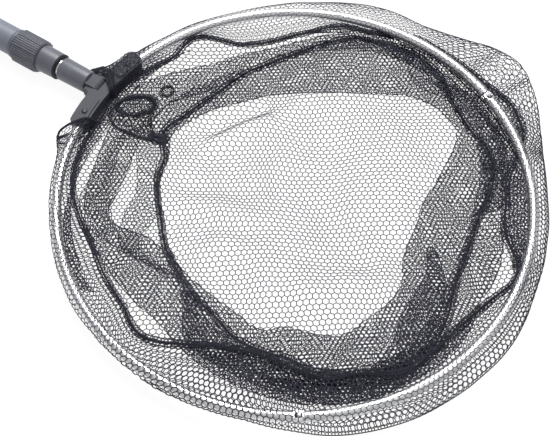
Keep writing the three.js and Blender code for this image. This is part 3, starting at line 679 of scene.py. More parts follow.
def addEye(bm, degrees, keepSide):
    depth = splice["eyeFlat"] - splice["gap"]
    spot = aroundHoop(hoop["radius"], degrees, keepSide * (splice["gap"] + depth / 2))
    made = bmesh.ops.create_cone(
        bm, cap_ends=True, segments=splice["eyeSides"], radius1=splice["eyeRadius"], radius2=splice["eyeRadius"],
        depth=depth, matrix=Matrix.Translation(spot))["verts"]
    edges = dict.fromkeys(edge for vert in made for edge in vert.link_edges)
    rim = [e for e in edges if abs(e.verts[0].co.z - e.verts[1].co.z) < detail["near"]]
    roundOff(bm, rim, splice["eyeRounding"], 3)


def makeHoopBar(name, node, start, end, startLap=0, endLap=0):
    shoulder = math.degrees((splice["eyeRadius"] + splice["shoulder"]) / hoop["radius"])
    bm = bmesh.new()
    barStart = start + shoulder if startLap else start
    barEnd = end - shoulder if endLap else end
    addBar(bm, barStart, barEnd)
    if startLap:
        addBar(bm, start, barStart + splice["overlap"], startLap)
        addEye(bm, start, startLap)
    if endLap:
        addBar(bm, barEnd - splice["overlap"], end, endLap)
        addEye(bm, end, endLap)
    finishPiece(name, bm, "hoopBar", "head", [node], splice["sharp"])


makeHoopBar("hoop_bar_left", "hoop_left_bar", splice["left"], 180 - splice["rodEnd"], startLap=-1)
makeHoopBar("hoop_bar_far", "hoop_far_bar", splice["right"], splice["left"], startLap=-1, endLap=1)
makeHoopBar("hoop_bar_right", "hoop_right_bar", splice["rodEnd"] - 180, splice["right"], endLap=1)
for word in ("left", "right"):
    makeRivet(f"lap_rivet_{word}", f"splice_rivet_{word}", "rivetMetal", "head", [1, -1], radius=2.3, height=1.2)
print("hoop: three bars with their laps")


# Net. Radii round the hoop's centre, at even steps from +X: the sleeve's outer fold, the hem, the seam of the bottom,
# the wall's inner fold, and the inner and outer edges of the tuck, of the pleat, of its back (the veil) and of the
# gathers.
drape = {
    "edge": [216, 214, 213, 213, 216, 226, 243, 252, 237, 226, 228, 224, 215, 210, 208, 206, 207, 209,
             213, 211, 208, 206, 205, 205, 205, 205, 205, 205, 205, 206, 210, 215, 218, 219, 219, 218],
    "hem": [185, 195, 179, 177, 184, 209, 217, 211, 210, 208, 193, 190, 177, 168, 171, 192, 184, 188,
            189, 187, 190, 188, 181, 174, 173, 173, 179, 165, 153, 150, 157, 168, 171, 183, 180, 179],
    "seam": [154, 151, 153, 159, 173, 179, 174, 179, 193, 197, 194, 184, 166, 154, 147, 138, 134, 134,
             137, 123, 121, 117, 114, 115, 117, 118, 121, 125, 134, 141, 146, 159, 166, 174, 174, 165],
    "fold": [106, 103, 104, 108, 119, 139, 161, 162, 153, 137, 126, 120, 116, 115, 115, 116, 122, 126,
             128, 119, 118, 116, 113, 114, 113, 113, 112, 113, 117, 124, 119, 126, 131, 125, 123, 118],
    "tuckIn": [148, 146, 148, 152, 160, 168, 172, 174, 178, 180, 176, 168, 158, 150, 143, 138, 140, 150,
               150, 148, 146, 150, 157, 128, 119, 120, 123, 128, 138, 142, 148, 158, 162, 165, 160, 154],
    "tuckOut": [178, 180, 178, 176, 180, 192, 192, 192, 192, 192, 189, 187, 175, 166, 165, 165, 173, 184,
                182, 178, 176, 178, 177, 171, 166, 162, 160, 166, 172, 178, 184, 188, 190, 188, 182, 176],
    "pleatIn": [128, 120, 130, 158, 164, 168, 175, 174, 166, 178, 170, 165, 160, 155, 148, 136, 134, 134,
                136, 160, 159, 158, 154, 148, 133, 121, 130, 148, 160, 165, 165, 165, 168, 158, 140, 131],
    "pleatOut": [146, 126, 100, 172, 184, 194, 195, 194, 178, 178, 170, 165, 160, 155, 150, 148, 150, 152,
                 152, 168, 172, 182, 178, 156, 138, 123, 130, 148, 160, 165, 172, 178, 182, 182, 170, 158],
    "veilIn": [128, 120, 130, 158, 165, 172, 180, 181, 178, 178, 170, 165, 160, 155, 150, 136, 130, 130,
               128, 127, 123, 118, 116, 136, 131, 121, 128, 148, 160, 165, 165, 165, 168, 158, 140, 131],
    "veilOut": [146, 126, 100, 172, 184, 194, 195, 194, 178, 178, 170, 165, 160, 155, 150, 148, 150, 152,
                152, 149, 139, 136, 146, 152, 136, 129, 131, 148, 160, 165, 172, 178, 182, 182, 170, 158],
    "gatherIn": [180, 190, 184, 180, 178, 184, 188, 186, 182, 180, 186, 186, 180, 170, 170, 185, 186, 184,
                 182, 180, 184, 188, 189, 188, 187, 170, 122, 133, 142, 151, 157, 162, 168, 172, 172, 175],
    "gatherOut": [180, 190, 197, 198, 198, 198, 197, 198, 199, 198, 196, 191, 180, 170, 170, 185, 188, 190,
                  192, 192, 190, 190, 195, 195, 193, 130, 134, 160, 166, 172, 180, 188, 192, 191, 190, 186],
}
netting = {"pitch": 5.0, "rowRise": math.sqrt(0.75), "reach": 224, "panelRadius": 150, "panelReach": 172,
           "panelWidest": 100, "block": 24, "weld": 0.02, "drift": 40, "wave": 70, "fineWave": 22, "fineShare": 5,
           "ripple": 0.6, "rippleSize": 16, "lift": 0.5, "sliver": 0.14, "spareDegrees": 8, "spareReach": 14,
           "thinnest": 0.05, "stops": 40, "leastWidth": 1}


# A smooth curve from one value or place to the next, with its slopes from their neighbours
def curve(before, start, end, after, t):
    slopeIn = (end - before) / 2
    slopeOut = (after - start) / 2
    step = end - start
    return start + (slopeIn + (step * 3 - slopeIn * 2 - slopeOut + (slopeIn + slopeOut - step * 2) * t) * t) * t


# The same through a closed row of values or places, at a share of the way round
def curveRound(points, share):
    count = len(points)
    place = share * count % count
    at = int(place)
    return curve(*(points[(at + k) % count] for k in (-1, 0, 1, 2)), place - at)


def line(name):
    return lambda degrees: curveRound(drape[name], degrees / 360)


hemLine, seamLine, foldLine = line("hem"), line("seam"), line("fold")


def smoothStep(low, high, value):
    t = max(0.0, min(1.0, (value - low) / (high - low)))
    return t * t * (3 - 2 * t)


# Rises over one span of values and falls again over another
def window(rise, fall, value):
    return smoothStep(*rise, value) * (1 - smoothStep(*fall, value))


def mixed(low, high, share):
    return low + (high - low) * share


def polar(place):
    away = place - hoopCentre
    return math.hypot(away.x, away.y), math.degrees(math.atan2(away.y, away.x))


# Soft unevenness of slack net, the same on every run
def slack(place, size, reach):
    return noise.noise_vector(place / size) * reach


fields = {}


# A flat strip of six-sided meshes, one unit per mesh along X and across Y
def meshField(columns, rows):
    if (columns, rows) not in fields:
        fields[columns, rows] = knitField(columns, rows)
    return fields[columns, rows].copy(), columns, rows * netting["rowRise"]


def knitField(columns, rows):
    bm = bmesh.new()
    radius = 1 / math.sqrt(3)
    for shift, lift in ((0, 0), (0.5, 1.5 * radius)):
        bmesh.ops.create_circle(
            bm, cap_ends=True, segments=6, radius=radius, matrix=Matrix.Translation((shift, lift, 0)))
    for step, count in (((1, 0, 0), columns), ((0, 3 * radius, 0), rows // 2)):
        bmesh.ops.spin(
            bm, geom=allOf(bm), cent=(0, 0, 0), axis=(0, 0, 1), angle=0, dvec=step, steps=count - 1,
            use_duplicate=True)
    bmesh.ops.remove_doubles(bm, verts=bm.verts, dist=netting["weld"])
    return bm


# The knitted strands: each edge of a mesh becomes a thin solid strand. Where a piece's net is drawn tight they are
# thinner, by a share that is given for each place.
def makeStrands(piece, thickness, share=None):
    strands = piece.modifiers.new("Strands", "WIREFRAME")
    if share:
        group = piece.vertex_groups.new(name="Slackness")
        for vert in piece.data.vertices:
            group.add([vert.index], share(vert.co / mm), "REPLACE")
        strands.vertex_group = group.name
        strands.thickness_vertex_group = netting["thinnest"]
    strands.thickness = thickness * mm
    strands.use_even_offset = False
    strands.use_boundary = True
    strands.use_replace = True


# Prints what a piece of net was cut from; only its strands are cloth
def declareNet(piece, width, length):
    print(f"{piece.name}: cut {width:.0f} x {length:.0f} mm")


# Length of a strip of net, from its count of meshes and its width
def cutLength(cells, width):
    return cells * netting["rowRise"] * netting["pitch"] ** 2 / width


# A flat field of even meshes about a place, kept where it is wanted and gently waved. Fields with the same weave
# share one lattice.
def layField(weave, centre, reach, wanted):
    needed = 2 * reach / (netting["pitch"] * min(weave["across"], weave["along"]))
    count = math.ceil(needed / netting["block"]) * netting["block"]
    part, _, high = meshField(count, count)
    turn = Matrix.Rotation(math.radians(weave["turn"]), 3, "Z")
    drift = Vector((0, 0, netting["drift"] * weave["seed"]))
    pair = high / count * 2
    middle = turn.transposed() @ (centre - hoopCentre) / netting["pitch"]
    shift = Vector((round(middle.x / weave["across"]), round(middle.y / weave["along"] / pair) * pair))
    for vert in part.verts:
        flat = Vector((
            (vert.co.x - count // 2 + shift.x) * weave["across"],
            (vert.co.y - count // 2 * pair / 2 + shift.y) * weave["along"], 0))
        vert.co = hoopCentre + turn @ flat * netting["pitch"]
    bmesh.ops.delete(part, geom=[vert for vert in part.verts if not wanted(vert.co)], context="VERTS")
    for vert in part.verts:
        place = vert.co + drift
        vert.co += slack(place, netting["wave"], weave["wave"])
        vert.co += slack(place, netting["fineWave"], weave["wave"] / netting["fineShare"])
    return part, drift


# Sets a layer's meshes at their height, closes up the slivers at its edges and adds it to the bag
def settleLayer(bm, part, drift, weave, height):
    for vert in part.verts:
        ripple = netting["ripple"] * noise.noise((vert.co + drift) / netting["rippleSize"])
        vert.co.z = max(height(vert.co) + ripple, floorZ + netting["lift"])
    bmesh.ops.remove_doubles(part, verts=part.verts, dist=netting["sliver"] * netting["pitch"] * weave["along"])
    cells = len(part.faces) * weave["across"] * weave["along"]
    addTo(bm, part)
    return cells


# A layer of net between two lines round the hoop; the strands at its edges follow the lines
def addLayer(bm, weave, span, inner, outer, height):
    wide = span[1] - span[0]
    middle = (span[0] + span[1]) / 2
    stops = [span[0] + wide * i / netting["stops"] for i in range(netting["stops"] + 1)]
    if all(outer(degrees) - inner(degrees) < netting["leastWidth"] for degrees in stops):
        return 0

    def nearBand(place):
        radius, degrees = polar(place)
        away = abs((degrees - middle + 180) % 360 - 180)
        spare = netting["spareReach"]
        return away < wide / 2 + netting["spareDegrees"] and inner(degrees) - spare < radius < outer(degrees) + spare

    if wide < netting["panelWidest"]:
        part, drift = layField(weave, aroundHoop(netting["panelRadius"], middle), netting["panelReach"], nearBand)
    else:
        part, drift = layField(weave, hoopCentre, netting["reach"], nearBand)
    outside = []
    for face in part.faces:
        radius, degrees = polar(face.calc_center_median())
        inSpan = span[0] <= degrees < span[1] or span[0] <= degrees + 360 < span[1]
        if not inSpan or not inner(degrees) < radius < outer(degrees):
            outside.append(face)
    bmesh.ops.delete(part, geom=outside, context="FACES")
    for vert in part.verts:
        radius, degrees = polar(vert.co)
        vert.co = aroundHoop(max(inner(degrees), min(outer(degrees), radius)), degrees)
    return settleLayer(bm, part, drift, weave, lambda place: height(polar(place)[1], polar(place)[0]))


# Sleeve of net round the bar, drawn over the far arm of the yoke. Spans are in degrees round the hoop, apart from
# that in which the hem slips under the bar, which is in radius.

sleeve = {
    "span": (-167.2, 175.4), "over": 5.7, "armOver": 8.6, "barHalf": 2, "armHalf": 8.4, "armSlope": 0.8,
    "hemZ": -1.5, "hemOutZ": -6.5, "hemGap": 1, "edgeZ": -7, "edgeGap": 0.8, "droopReach": 30, "underGap": 0.6,
    "step": 1.35, "rows": 26, "strand": 1.05, "cover": 0.41, "slack": 1.3, "slackSize": 34, "armSlack": 0.25,
    "rowDrift": 60, "clear": 5.6, "leastAway": 0.1, "bunched": 14, "tuft": 16, "tuftFrom": 171,
    "flare": 3.4, "flareTo": -157, "farArm": (165.5, 168.5), "nearArm": (-166, -163), "slipping": (190, 203),
    "narrowFrom": (184, 206), "narrowTo": (280, 312), "leastSpare": 0.02, "clump": 4, "spansToClump": 9,
    "farSlant": {"from": 165, "inside": 206, "turn": 0.19}, "nearSlant": {"to": -156, "turn": 0.28},
    "drawn": [{"at": 63.5, "reach": 3.4, "pull": 0.62}, {"at": 73, "reach": 3.2, "pull": 0.6}],
}


# How far the casing lies on an arm of the yoke, from 0 to 1
def onArm(degrees):
    return max(smoothStep(*sleeve["farArm"], degrees), 1 - smoothStep(*sleeve["nearArm"], degrees))


# How far the hem has slipped under the bar to its outer side, from 0 to 1
def hemOutside(degrees):
    return smoothStep(*sleeve["slipping"], hemLine(degrees))


def hemHeight(degrees):
    return mixed(sleeve["hemZ"], sleeve["hemOutZ"], hemOutside(degrees))


def between(a, b, share):
    return [mixed(p, q, share) for p, q in zip(a, b)]


# Section of the casing as (radius, z) points: from the hem over the bar to the outer fold, and back under the bar.
# Where the hem lies outside, the casing first runs back under the bar and up its inner side.
def sleeveSection(degrees):
    arm = onArm(degrees)
    over = mixed(sleeve["over"], sleeve["armOver"], arm)
    half = mixed(sleeve["barHalf"], sleeve["armHalf"], arm)
    bar = hoop["radius"]
    hem = hemLine(degrees)
    hem = mixed(hem, min(hem, bar - sleeve["armHalf"] - sleeve["hemGap"]), arm)
    edge = max(curveRound(drape["edge"], degrees / 360), bar + max(over, half) + sleeve["edgeGap"])
    edge += sleeve["tuft"] * smoothStep(sleeve["tuftFrom"], sleeve["span"][1], degrees)
    edge += sleeve["flare"] * (1 - smoothStep(sleeve["span"][0], sleeve["flareTo"], degrees))
    outside = hemOutside(degrees) * (1 - arm)
    droop = sleeve["edgeZ"] * smoothStep(0, sleeve["droopReach"], edge - bar)
    start = (hem, hemHeight(degrees))
    topIn, topOut = (bar - half, over), (bar + half, over - sleeve["armSlope"] * arm)
    fold = (edge, droop)
    below = (bar, -over - sleeve["underGap"])
    # points between these, as shares of the way, and those by which the casing hugs the bar
    rise = [between(start, topIn, share) for share in (0.3, 0.6, 0.85)]
    hugging = [(bar + 2, -over - 0.4), (bar - over, -over * 0.55), (bar - over, over * 0.45)]
    back = [between(fold, below, 0.5), below, between(below, start, 0.5)]
    straight = [between(fold, start, share) for share in (0.35, 0.65, 0.9)]
    return [
        start,
        *(between(a, b, outside) for a, b in zip(rise, hugging)),
        topIn,
        topOut,
        ((topOut[0] + edge) / 2 + 1, over * 0.55 + droop * 0.3),
        fold,
        *(between(a, b, outside) for a, b in zip(back, straight)),
        (start[0], start[1] - 0.5),
    ]


# Point at a share of the way along a section of (radius, z) points, drawn as a smooth curve
def sectionPoint(points, share):
    spans = [math.dist(a, b) for a, b in zip(points, points[1:])]
    travel = max(0.0, min(1.0, share)) * sum(spans)
    at = 0
    while at < len(spans) - 1 and travel > spans[at]:
        travel -= spans[at]
        at += 1
    t = travel / spans[at] if spans[at] else 0
    before, after = points[max(at - 1, 0)], points[min(at + 2, len(points) - 1)]
    return [curve(*values, t) for values in zip(before, points[at], points[at + 1], after)]


# Place of a row of meshes along the section. On the side towards -X and -Y the casing is narrow: rows keep their own
# size there, and those to spare lie close together under the bar.
def rowShare(share, section, degrees):
    spans = [math.dist(a, b) for a, b in zip(section, section[1:])]
    total = sum(spans)
    needed = total / (netting["rowRise"] * netting["pitch"] * sleeve["rows"])
    narrow = window(sleeve["narrowFrom"], sleeve["narrowTo"], degrees % 360) * (1 - onArm(degrees))
    spare = max(0, 1 - needed) * narrow
    if spare < sleeve["leastSpare"]:
        return share
    hidden = sum(spans[:sleeve["spansToClump"]]) / total
    clump = sleeve["clump"] / total
    before, after = hidden - clump / 2, 1 - hidden - clump / 2
    first = (1 - spare) * before / (before + after)
    if share < first:
        return before * share / first
    if share > first + spare:
        return 1 - after * (1 - share) / (1 - first - spare)
    return before + clump * (share - first) / spare


# Both ends of the casing are drawn slantwise over the arms of the yoke
def slanted(degrees, radius):
    start, end = sleeve["span"]
    far, near = sleeve["farSlant"], sleeve["nearSlant"]
    farTurn = smoothStep(far["from"], end, degrees) * (1 + far["turn"] * max(0, far["inside"] - radius))
    nearTurn = (1 - smoothStep(start, near["to"], degrees)) * near["turn"] * (radius - hoop["radius"])
    return degrees + farTurn + nearTurn


# Where the casing is drawn tight its strands are thinner: on the side towards +Y, outside the bar near the yoke, on
# the far arm, and over the bar, where one side keeps more
tight = {
    "slack": 0.86, "least": 0.35, "bar": 0.25, "barReach": (5, 8), "barHeight": (0, 4), "outsideRadius": (196, 205),
    "side": {"rise": (72, 96), "fall": (152, 168), "by": 0.38},
    "outside": {"rise": (178, 196), "fall": (245, 275), "by": 0.24},
    "kept": {"rise": (180, 190), "fall": (290, 310), "by": 0.35},
    "arm": {"rise": sleeve["farArm"], "fall": (176, 178), "by": 0.25},
}


def strandShare(place):
    radius, degrees = polar(place)

    def around(name):
        return window(tight[name]["rise"], tight[name]["fall"], degrees % 360) * tight[name]["by"]

    outside = smoothStep(*tight["outsideRadius"], radius) * around("outside")
    onBar = 1 - smoothStep(*tight["barReach"], abs(radius - hoop["radius"]))
    over = (tight["bar"] - around("kept")) * onBar * smoothStep(*tight["barHeight"], place.z)
    share = tight["slack"] - around("side") - outside - over - around("arm")
    return max(tight["least"], min(1.0, share))


def makeNetSleeve():
    start, end = sleeve["span"]
    bunched = sleeve["bunched"]
    columns = round((end - start) / sleeve["step"]) + bunched // 2
    bm, _, high = meshField(columns, sleeve["rows"])
    for vert in bm.verts:
        share = vert.co.y / high
        # meshes are bunched up towards the far end
        left = max(0, columns - vert.co.x)
        steps = left * left / (2 * bunched) if left < bunched else left - bunched / 2
        degrees = max(start, end - steps * sleeve["step"])
        for place in sleeve["drawn"]:
            away = place["at"] - degrees
            degrees += away * place["pull"] * math.exp(-(away / place["reach"]) ** 2)
        section = sleeveSection(degrees)
        radius, z = sectionPoint(section, rowShare(share, section, degrees))
        free = 1 - onArm(degrees)
        away = math.hypot(radius - hoop["radius"], z)
        if away < sleeve["clear"] * free:
            radius, z = between((hoop["radius"], 0), (radius, z), sleeve["clear"] / max(away, sleeve["leastAway"]))
        place = aroundHoop(radius, slanted(degrees, radius), z)
        seed = place + Vector((0, 0, sleeve["rowDrift"] * share))
        place += slack(seed, sleeve["slackSize"], sleeve["slack"] * mixed(sleeve["armSlack"], 1, free))
        place.z = max(place.z, floorZ + netting["lift"])
        vert.co = place
    cells = len(bm.faces)
    piece = finishPiece("net_sleeve_mesh", bm, "netting", "head", ["net_sleeve"], 0)
    makeStrands(piece, sleeve["strand"], strandShare)
    width = columns * netting["pitch"]
    declareNet(piece, width, cutLength(cells, width))


# Slack wall: from the hem in to its tuck, back out, in again to the inner fold, and back out to the seam. Between
# tuck and fold it lies in a pleat, and along the bar in close gathers. Some spare net lies over the yoke's far arm.

wall = {
    "tuckZ": -8, "pleatZ": -10.2, "gatherZ": -6, "foldZ": -11.5, "seamZ": -14.2, "strand": 0.86, "cover": 0.51,
    "cutRadius": 160, "backDrop": 0.8, "veilDrop": 0.9, "lowerDrop": 1.8, "underDrop": 1, "crescent": (2, 20),
    "slipFrom": 5, "slipTo": 1.5, "slipDrop": 1,
    "spareNet": {"half": 7.6, "rise": (166.5, 168.5), "fall": (175, 176.4), "lift": 1.1},
    "panels": {"net_wall_panel_far": (-30, 62), "net_wall_panel_left": (62, 154), "net_wall_panel_yoke": (154, 243),
               "net_wall_panel_right": (243, 330)},
    "upper": {"turn": 36, "across": 0.95, "along": 0.95, "wave": 6, "seed": 1},
    "back": {"turn": 31, "across": 0.78, "along": 0.82, "wave": 7, "seed": 2},
    "lower": {"turn": 39, "across": 0.82, "along": 0.8, "wave": 6, "seed": 3},
    "under": {"turn": 33, "across": 0.76, "along": 0.75, "wave": 6, "seed": 4},
    "pleat": {"turn": 42, "across": 0.74, "along": 0.8, "wave": 7, "seed": 5},
    "pleatBack": {"turn": 27, "across": 0.8, "along": 0.74, "wave": 7, "seed": 6},
    "gather": {"turn": 38, "across": 0.62, "along": 0.66, "wave": 5, "seed": 9},
    "slip": {"turn": 30, "across": 0.66, "along": 0.62, "wave": 5, "seed": 10},
    "spare": {"turn": 35, "across": 1.1, "along": 1.1, "wave": 4, "seed": 11},
}


def upperHeight(degrees, radius):
    share = smoothStep(curveRound(drape["tuckIn"], degrees / 360), hemLine(degrees), radius)
    return mixed(wall["tuckZ"], hemHeight(degrees), share)


def foldHeight(degrees):
    crescent = smoothStep(*wall["crescent"], seamLine(degrees) - foldLine(degrees))
    return mixed(wall["seamZ"], wall["foldZ"], crescent)


def lowerHeight(degrees, radius):
    share = smoothStep(foldLine(degrees), curveRound(drape["tuckOut"], degrees / 360), radius)
    return mixed(foldHeight(degrees), wall["tuckZ"] - wall["lowerDrop"], share)


def underHeight(degrees, radius):
    share = smoothStep(foldLine(degrees), seamLine(degrees), radius)
    return mixed(foldHeight(degrees) - wall["underDrop"], wall["seamZ"], share)


# A line beside the bar that bounds the spare net on the far arm; side is -1 inside the bar and 1 outside it
def spareLine(side):
    spare = wall["spareNet"]
    return lambda degrees: hoop["radius"] + side * spare["half"] * window(spare["rise"], spare["fall"], degrees % 360)


def level(z):
    return lambda _degrees, _radius: z


# Each layer's weave, inner and outer line, and height
wallLayers = [
    ("upper", line("tuckIn"), hemLine, upperHeight),
    ("back", line("tuckIn"), line("tuckOut"), level(wall["tuckZ"] - wall["backDrop"])),
    ("pleat", line("pleatIn"), line("pleatOut"), level(wall["pleatZ"])),
    ("pleatBack", line("veilIn"), line("veilOut"), level(wall["pleatZ"] - wall["veilDrop"])),
    ("gather", line("gatherIn"), line("gatherOut"), level(wall["gatherZ"])),
    ("slip", line("gatherIn"), line("gatherOut"), level(wall["gatherZ"] - wall["backDrop"])),
    ("slip", lambda _degrees: hoop["radius"] + wall["slipFrom"], lambda degrees: hemLine(degrees) + wall["slipTo"],
     level(sleeve["hemOutZ"] - wall["slipDrop"])),
    ("spare", spareLine(-1), spareLine(1), level(sleeve["armOver"] + wall["spareNet"]["lift"])),
    ("lower", foldLine, line("tuckOut"), lowerHeight),
    ("under", foldLine, seamLine, underHeight),
]


def makeNetWall():
    for name, span in wall["panels"].items():
        bm = bmesh.new()
        cells = sum(addLayer(bm, wall[weave], span, *lines, height) for weave, *lines, height in wallLayers)
        piece = finishPiece(name, bm, "netting", "head", ["net_wall"], 0)
        makeStrands(piece, wall["strand"])
        width = math.radians(span[1] - span[0]) * wall["cutRadius"]
        declareNet(piece, width, cutLength(cells, width))


bottom = {"lift": 0.6, "strand": 0.85, "cover": 0.45, "width": 290, "fade": 25,
          "weave": {"turn": 33, "across": 0.95, "along": 0.95, "wave": 8, "seed": 0}}


# Creases: places about the hoop's centre, how far round the net is drawn in, and how strongly
creases = [
    {"line": [(-69, 89), (-71, 69), (-84, 49), (-96, 25), (-110, 4)], "reach": 12, "pull": 0.8},
    {"line": [(-98, -52), (-60, -30), (-22, -14)], "reach": 13, "pull": 0.36},
    {"line": [(-58, -72), (-30, -56), (4, -50)], "reach": 12, "pull": 0.34},
    {"line": [(48, -50), (82, -26), (104, -12)], "reach": 13, "pull": 0.36},
]


# Draws net towards a crease, most where it lies close to it, so that its meshes bunch up there
def creasePull(place, crease):
    points = [hoopCentre + Vector((x, y, place.z)) for x, y in crease["line"]]
    nearest = None
    for a, b in zip(points, points[1:]):
        share = (place - a).dot(b - a) / (b - a).length_squared
        spot = a + (b - a) * max(0.0, min(1.0, share))
        if nearest is None or (spot - place).length < (nearest - place).length:
            nearest = spot
    away = nearest - place
    ends = min((place - points[0]).length, (place - points[-1]).length)
    fade = smoothStep(0, bottom["fade"], ends)
    return away * crease["pull"] * fade * math.exp(-(away.length / crease["reach"]) ** 2)


# Flat bottom of the bag, laid on the ground inside the seam
def makeNetBottom():
    bm = bmesh.new()
    cells = addLayer(
        bm, bottom["weave"], (-180, 180.1), lambda _degrees: 0, seamLine, level(floorZ + bottom["lift"]))
    for vert in bm.verts:
        for crease in creases:
            vert.co += creasePull(vert.co, crease)
    piece = finishPiece("net_bottom_mesh", bm, "netting", "head", ["net_bottom"], 0)
    makeStrands(piece, bottom["strand"])
    declareNet(piece, bottom["width"], cutLength(cells, bottom["width"]))


# Rolled and overlocked edges: a core with dense net gathered twice round it, along a closed line. Puckers are given
# as (share, size).

rolling = {"cover": 0.95, "layers": 2, "ahead": 0.001, "lift": 0.3, "coreSides": 8, "coreSteps": 90, "ring": 10,
           "corePucker": (0.4, 3), "pucker": (0.3, 5), "finePucker": (0.25, 1.7), "broadPucker": (0.4, 40),
           "uneven": (20, 1.0)}
standing = Vector((0, 0, 1))


def rollPlace(path, up, share, turn, wide, tall):
    here = path(share)
    along = (path(share + rolling["ahead"]) - here).normalized()
    side = along.cross(up).normalized()
    place = here + side * wide * math.cos(turn) + side.cross(along) * tall * math.sin(turn)
    place.z = max(place.z, floorZ + rolling["lift"])
    return place


def puckered(name, place, shift=Vector()):
    share, size = rolling[name]
    return share * noise.noise(place / size + shift)


def makeRollCore(name, path, up, roll, replaced):
    bm = bmesh.new()
    bmesh.ops.create_circle(bm, segments=rolling["coreSides"], radius=1)
    turnMesh(bm, math.pi / 2, "X")
    moveMesh(bm, (rolling["ring"], 0, 0))
    bmesh.ops.spin(
        bm, geom=bm.verts[:] + bm.edges[:], cent=(0, 0, 0), axis=(0, 0, 1), angle=fullTurn,
        steps=roll.get("coreSteps", rolling["coreSteps"]), use_merge=True)
    for vert in bm.verts:
        share = math.atan2(vert.co.y, vert.co.x) / fullTurn
        turn = math.atan2(vert.co.z, math.hypot(vert.co.x, vert.co.y) - rolling["ring"])
        radius = roll["core"] * (1 + puckered("corePucker", path(share)))
        vert.co = rollPlace(path, up, share, turn, radius, radius)
    finishPiece(name, bm, "hemThread", "head", replaced, 0)


def makeRollNet(name, path, up, roll):
    columns = roll["columns"]
    bm, wide, high = meshField(columns, roll["rows"])
    for vert in bm.verts:
        share = vert.co.x / wide
        turn = fullTurn * vert.co.y / high
        here = path(share)
        pucker = 1 + puckered("pucker", here) + puckered("finePucker", here, Vector((0, 0, turn)))
        pucker += puckered("broadPucker", here)
        vert.co = rollPlace(path, up, share, turn, roll["wide"] * pucker, roll["tall"] * pucker)
    piece = finishPiece(name, bm, "hemThread", "head", (), 0)
    makeStrands(piece, roll["strand"])
    length = sum((path((i + 1) / columns) - path(i / columns)).length for i in range(columns))
    girth = math.pi * (roll["wide"] + roll["tall"])
    layers = rolling["layers"]
    declareNet(piece, length, layers * girth)


def makeRoll(core, net, path, up, roll, replaced=()):
    makeRollCore(core, path, up, roll, replaced)
    makeRollNet(net, path, up, roll)


hemRoll = {"core": 1.0, "coreSteps": 540, "wide": 3.0, "tall": 1.9, "columns": 430, "rows": 10, "strand": 0.6}
seamRoll = {"core": 1.0, "coreSteps": 540, "wide": 3.3, "tall": 1.7, "columns": 400, "rows": 10, "strand": 0.6}


# A line round the hoop, a little uneven
def ringPath(radius, height):
    def path(share):
        degrees = 360 * share
        place = aroundHoop(radius(degrees), degrees, height(degrees))
        return place + slack(place, *rolling["uneven"])

    return path


# The casing ends in a rolled hem at each arm of the yoke
endHems = {
    "net_end_hem_near": {"at": sleeve["span"][0], "core": 0.4, "wide": 0.9, "tall": 1.2, "columns": 60, "rows": 10,
                         "strand": 0.55},
    "net_end_hem_far": {"at": sleeve["span"][1], "core": 0.8, "wide": 1.2, "tall": 3.4, "columns": 60, "rows": 14,
                        "strand": 0.55},
}


def makeEndHem(name, hem, count=16, wobble=0.4):
    section = sleeveSection(hem["at"])
    places = []
    for i in range(count):
        radius, z = sectionPoint(section, i / count)
        places.append(aroundHoop(radius, slanted(hem["at"], radius) + wobble * math.sin(i), z))
    along = aroundHoop(1, hem["at"] + 90) - hoopCentre
    makeRoll(name + "_core", name, lambda share: curveRound(places, share), along, hem)


# Slack net by the yoke, turned up in a small pouch: (angle, radius, z) round its outline, its rolled mouth, the
# knot by which it hangs on the seam and a curl in the wall beside it
pouch = {
    "outline": [(183.5, 182, 1), (179.4, 177, 2.5), (177, 170, 3), (175.1, 161, 3), (175.3, 155, 2), (177.4, 152, 0),
                (180.6, 149.5, -4), (184, 141, -9), (186.8, 140, -9), (187.9, 150, -7), (188.2, 161, -5.5),
                (188.2, 172, -4), (186.4, 181, -1)],
    "mouth": [(181.9, 180.7, 3), (179.4, 176.6, 3.5), (177, 170, 4), (175.1, 161, 4), (175.2, 155, 3),
              (176.4, 151.6, 1.5), (178.6, 152.8, 1), (180.5, 156.5, 1), (182.8, 162, 1), (183.9, 170, 1),
              (183.4, 178.5, 1.5)],
    "knot": [(185.2, 143, -10.5), (183.6, 139, -11), (182.6, 132, -12.5), (183.9, 130, -12.5), (185.6, 136, -11.5)],
    "curl": [(170, 160, -6), (168.4, 164.5, -5), (166, 162, -6), (166.4, 157, -7), (168.6, 155.5, -7)],
    "strand": 0.72, "cover": 0.5, "width": 60, "rimSteps": 60, "reach": 40, "keep": 44, "bulgeReach": 12,
    "upper": {"turn": 22, "across": 0.7, "along": 0.74, "wave": 5, "seed": 7, "bulge": 1.6},
    "lower": {"turn": 48, "across": 0.74, "along": 0.7, "wave": 5, "seed": 8, "bulge": -2.5},
}
pouchRolls = {
    "mouth": {"core": 0.9, "wide": 2.3, "tall": 1.7, "columns": 60, "rows": 8, "strand": 0.55},
    "outline": {"core": 0.6, "wide": 1.4, "tall": 1.1, "columns": 70, "rows": 6, "strand": 0.5},
    "curl": {"core": 0.4, "wide": 1.3, "tall": 1.0, "columns": 24, "rows": 6, "strand": 0.5},
    "knot": {"core": 1.7, "wide": 2.9, "tall": 1.7, "columns": 26, "rows": 10, "strand": 0.6},
}


def pouchLine(name):
    places = [aroundHoop(radius, degrees, z) for degrees, radius, z in pouch[name]]
    return lambda share: curveRound(places, share)


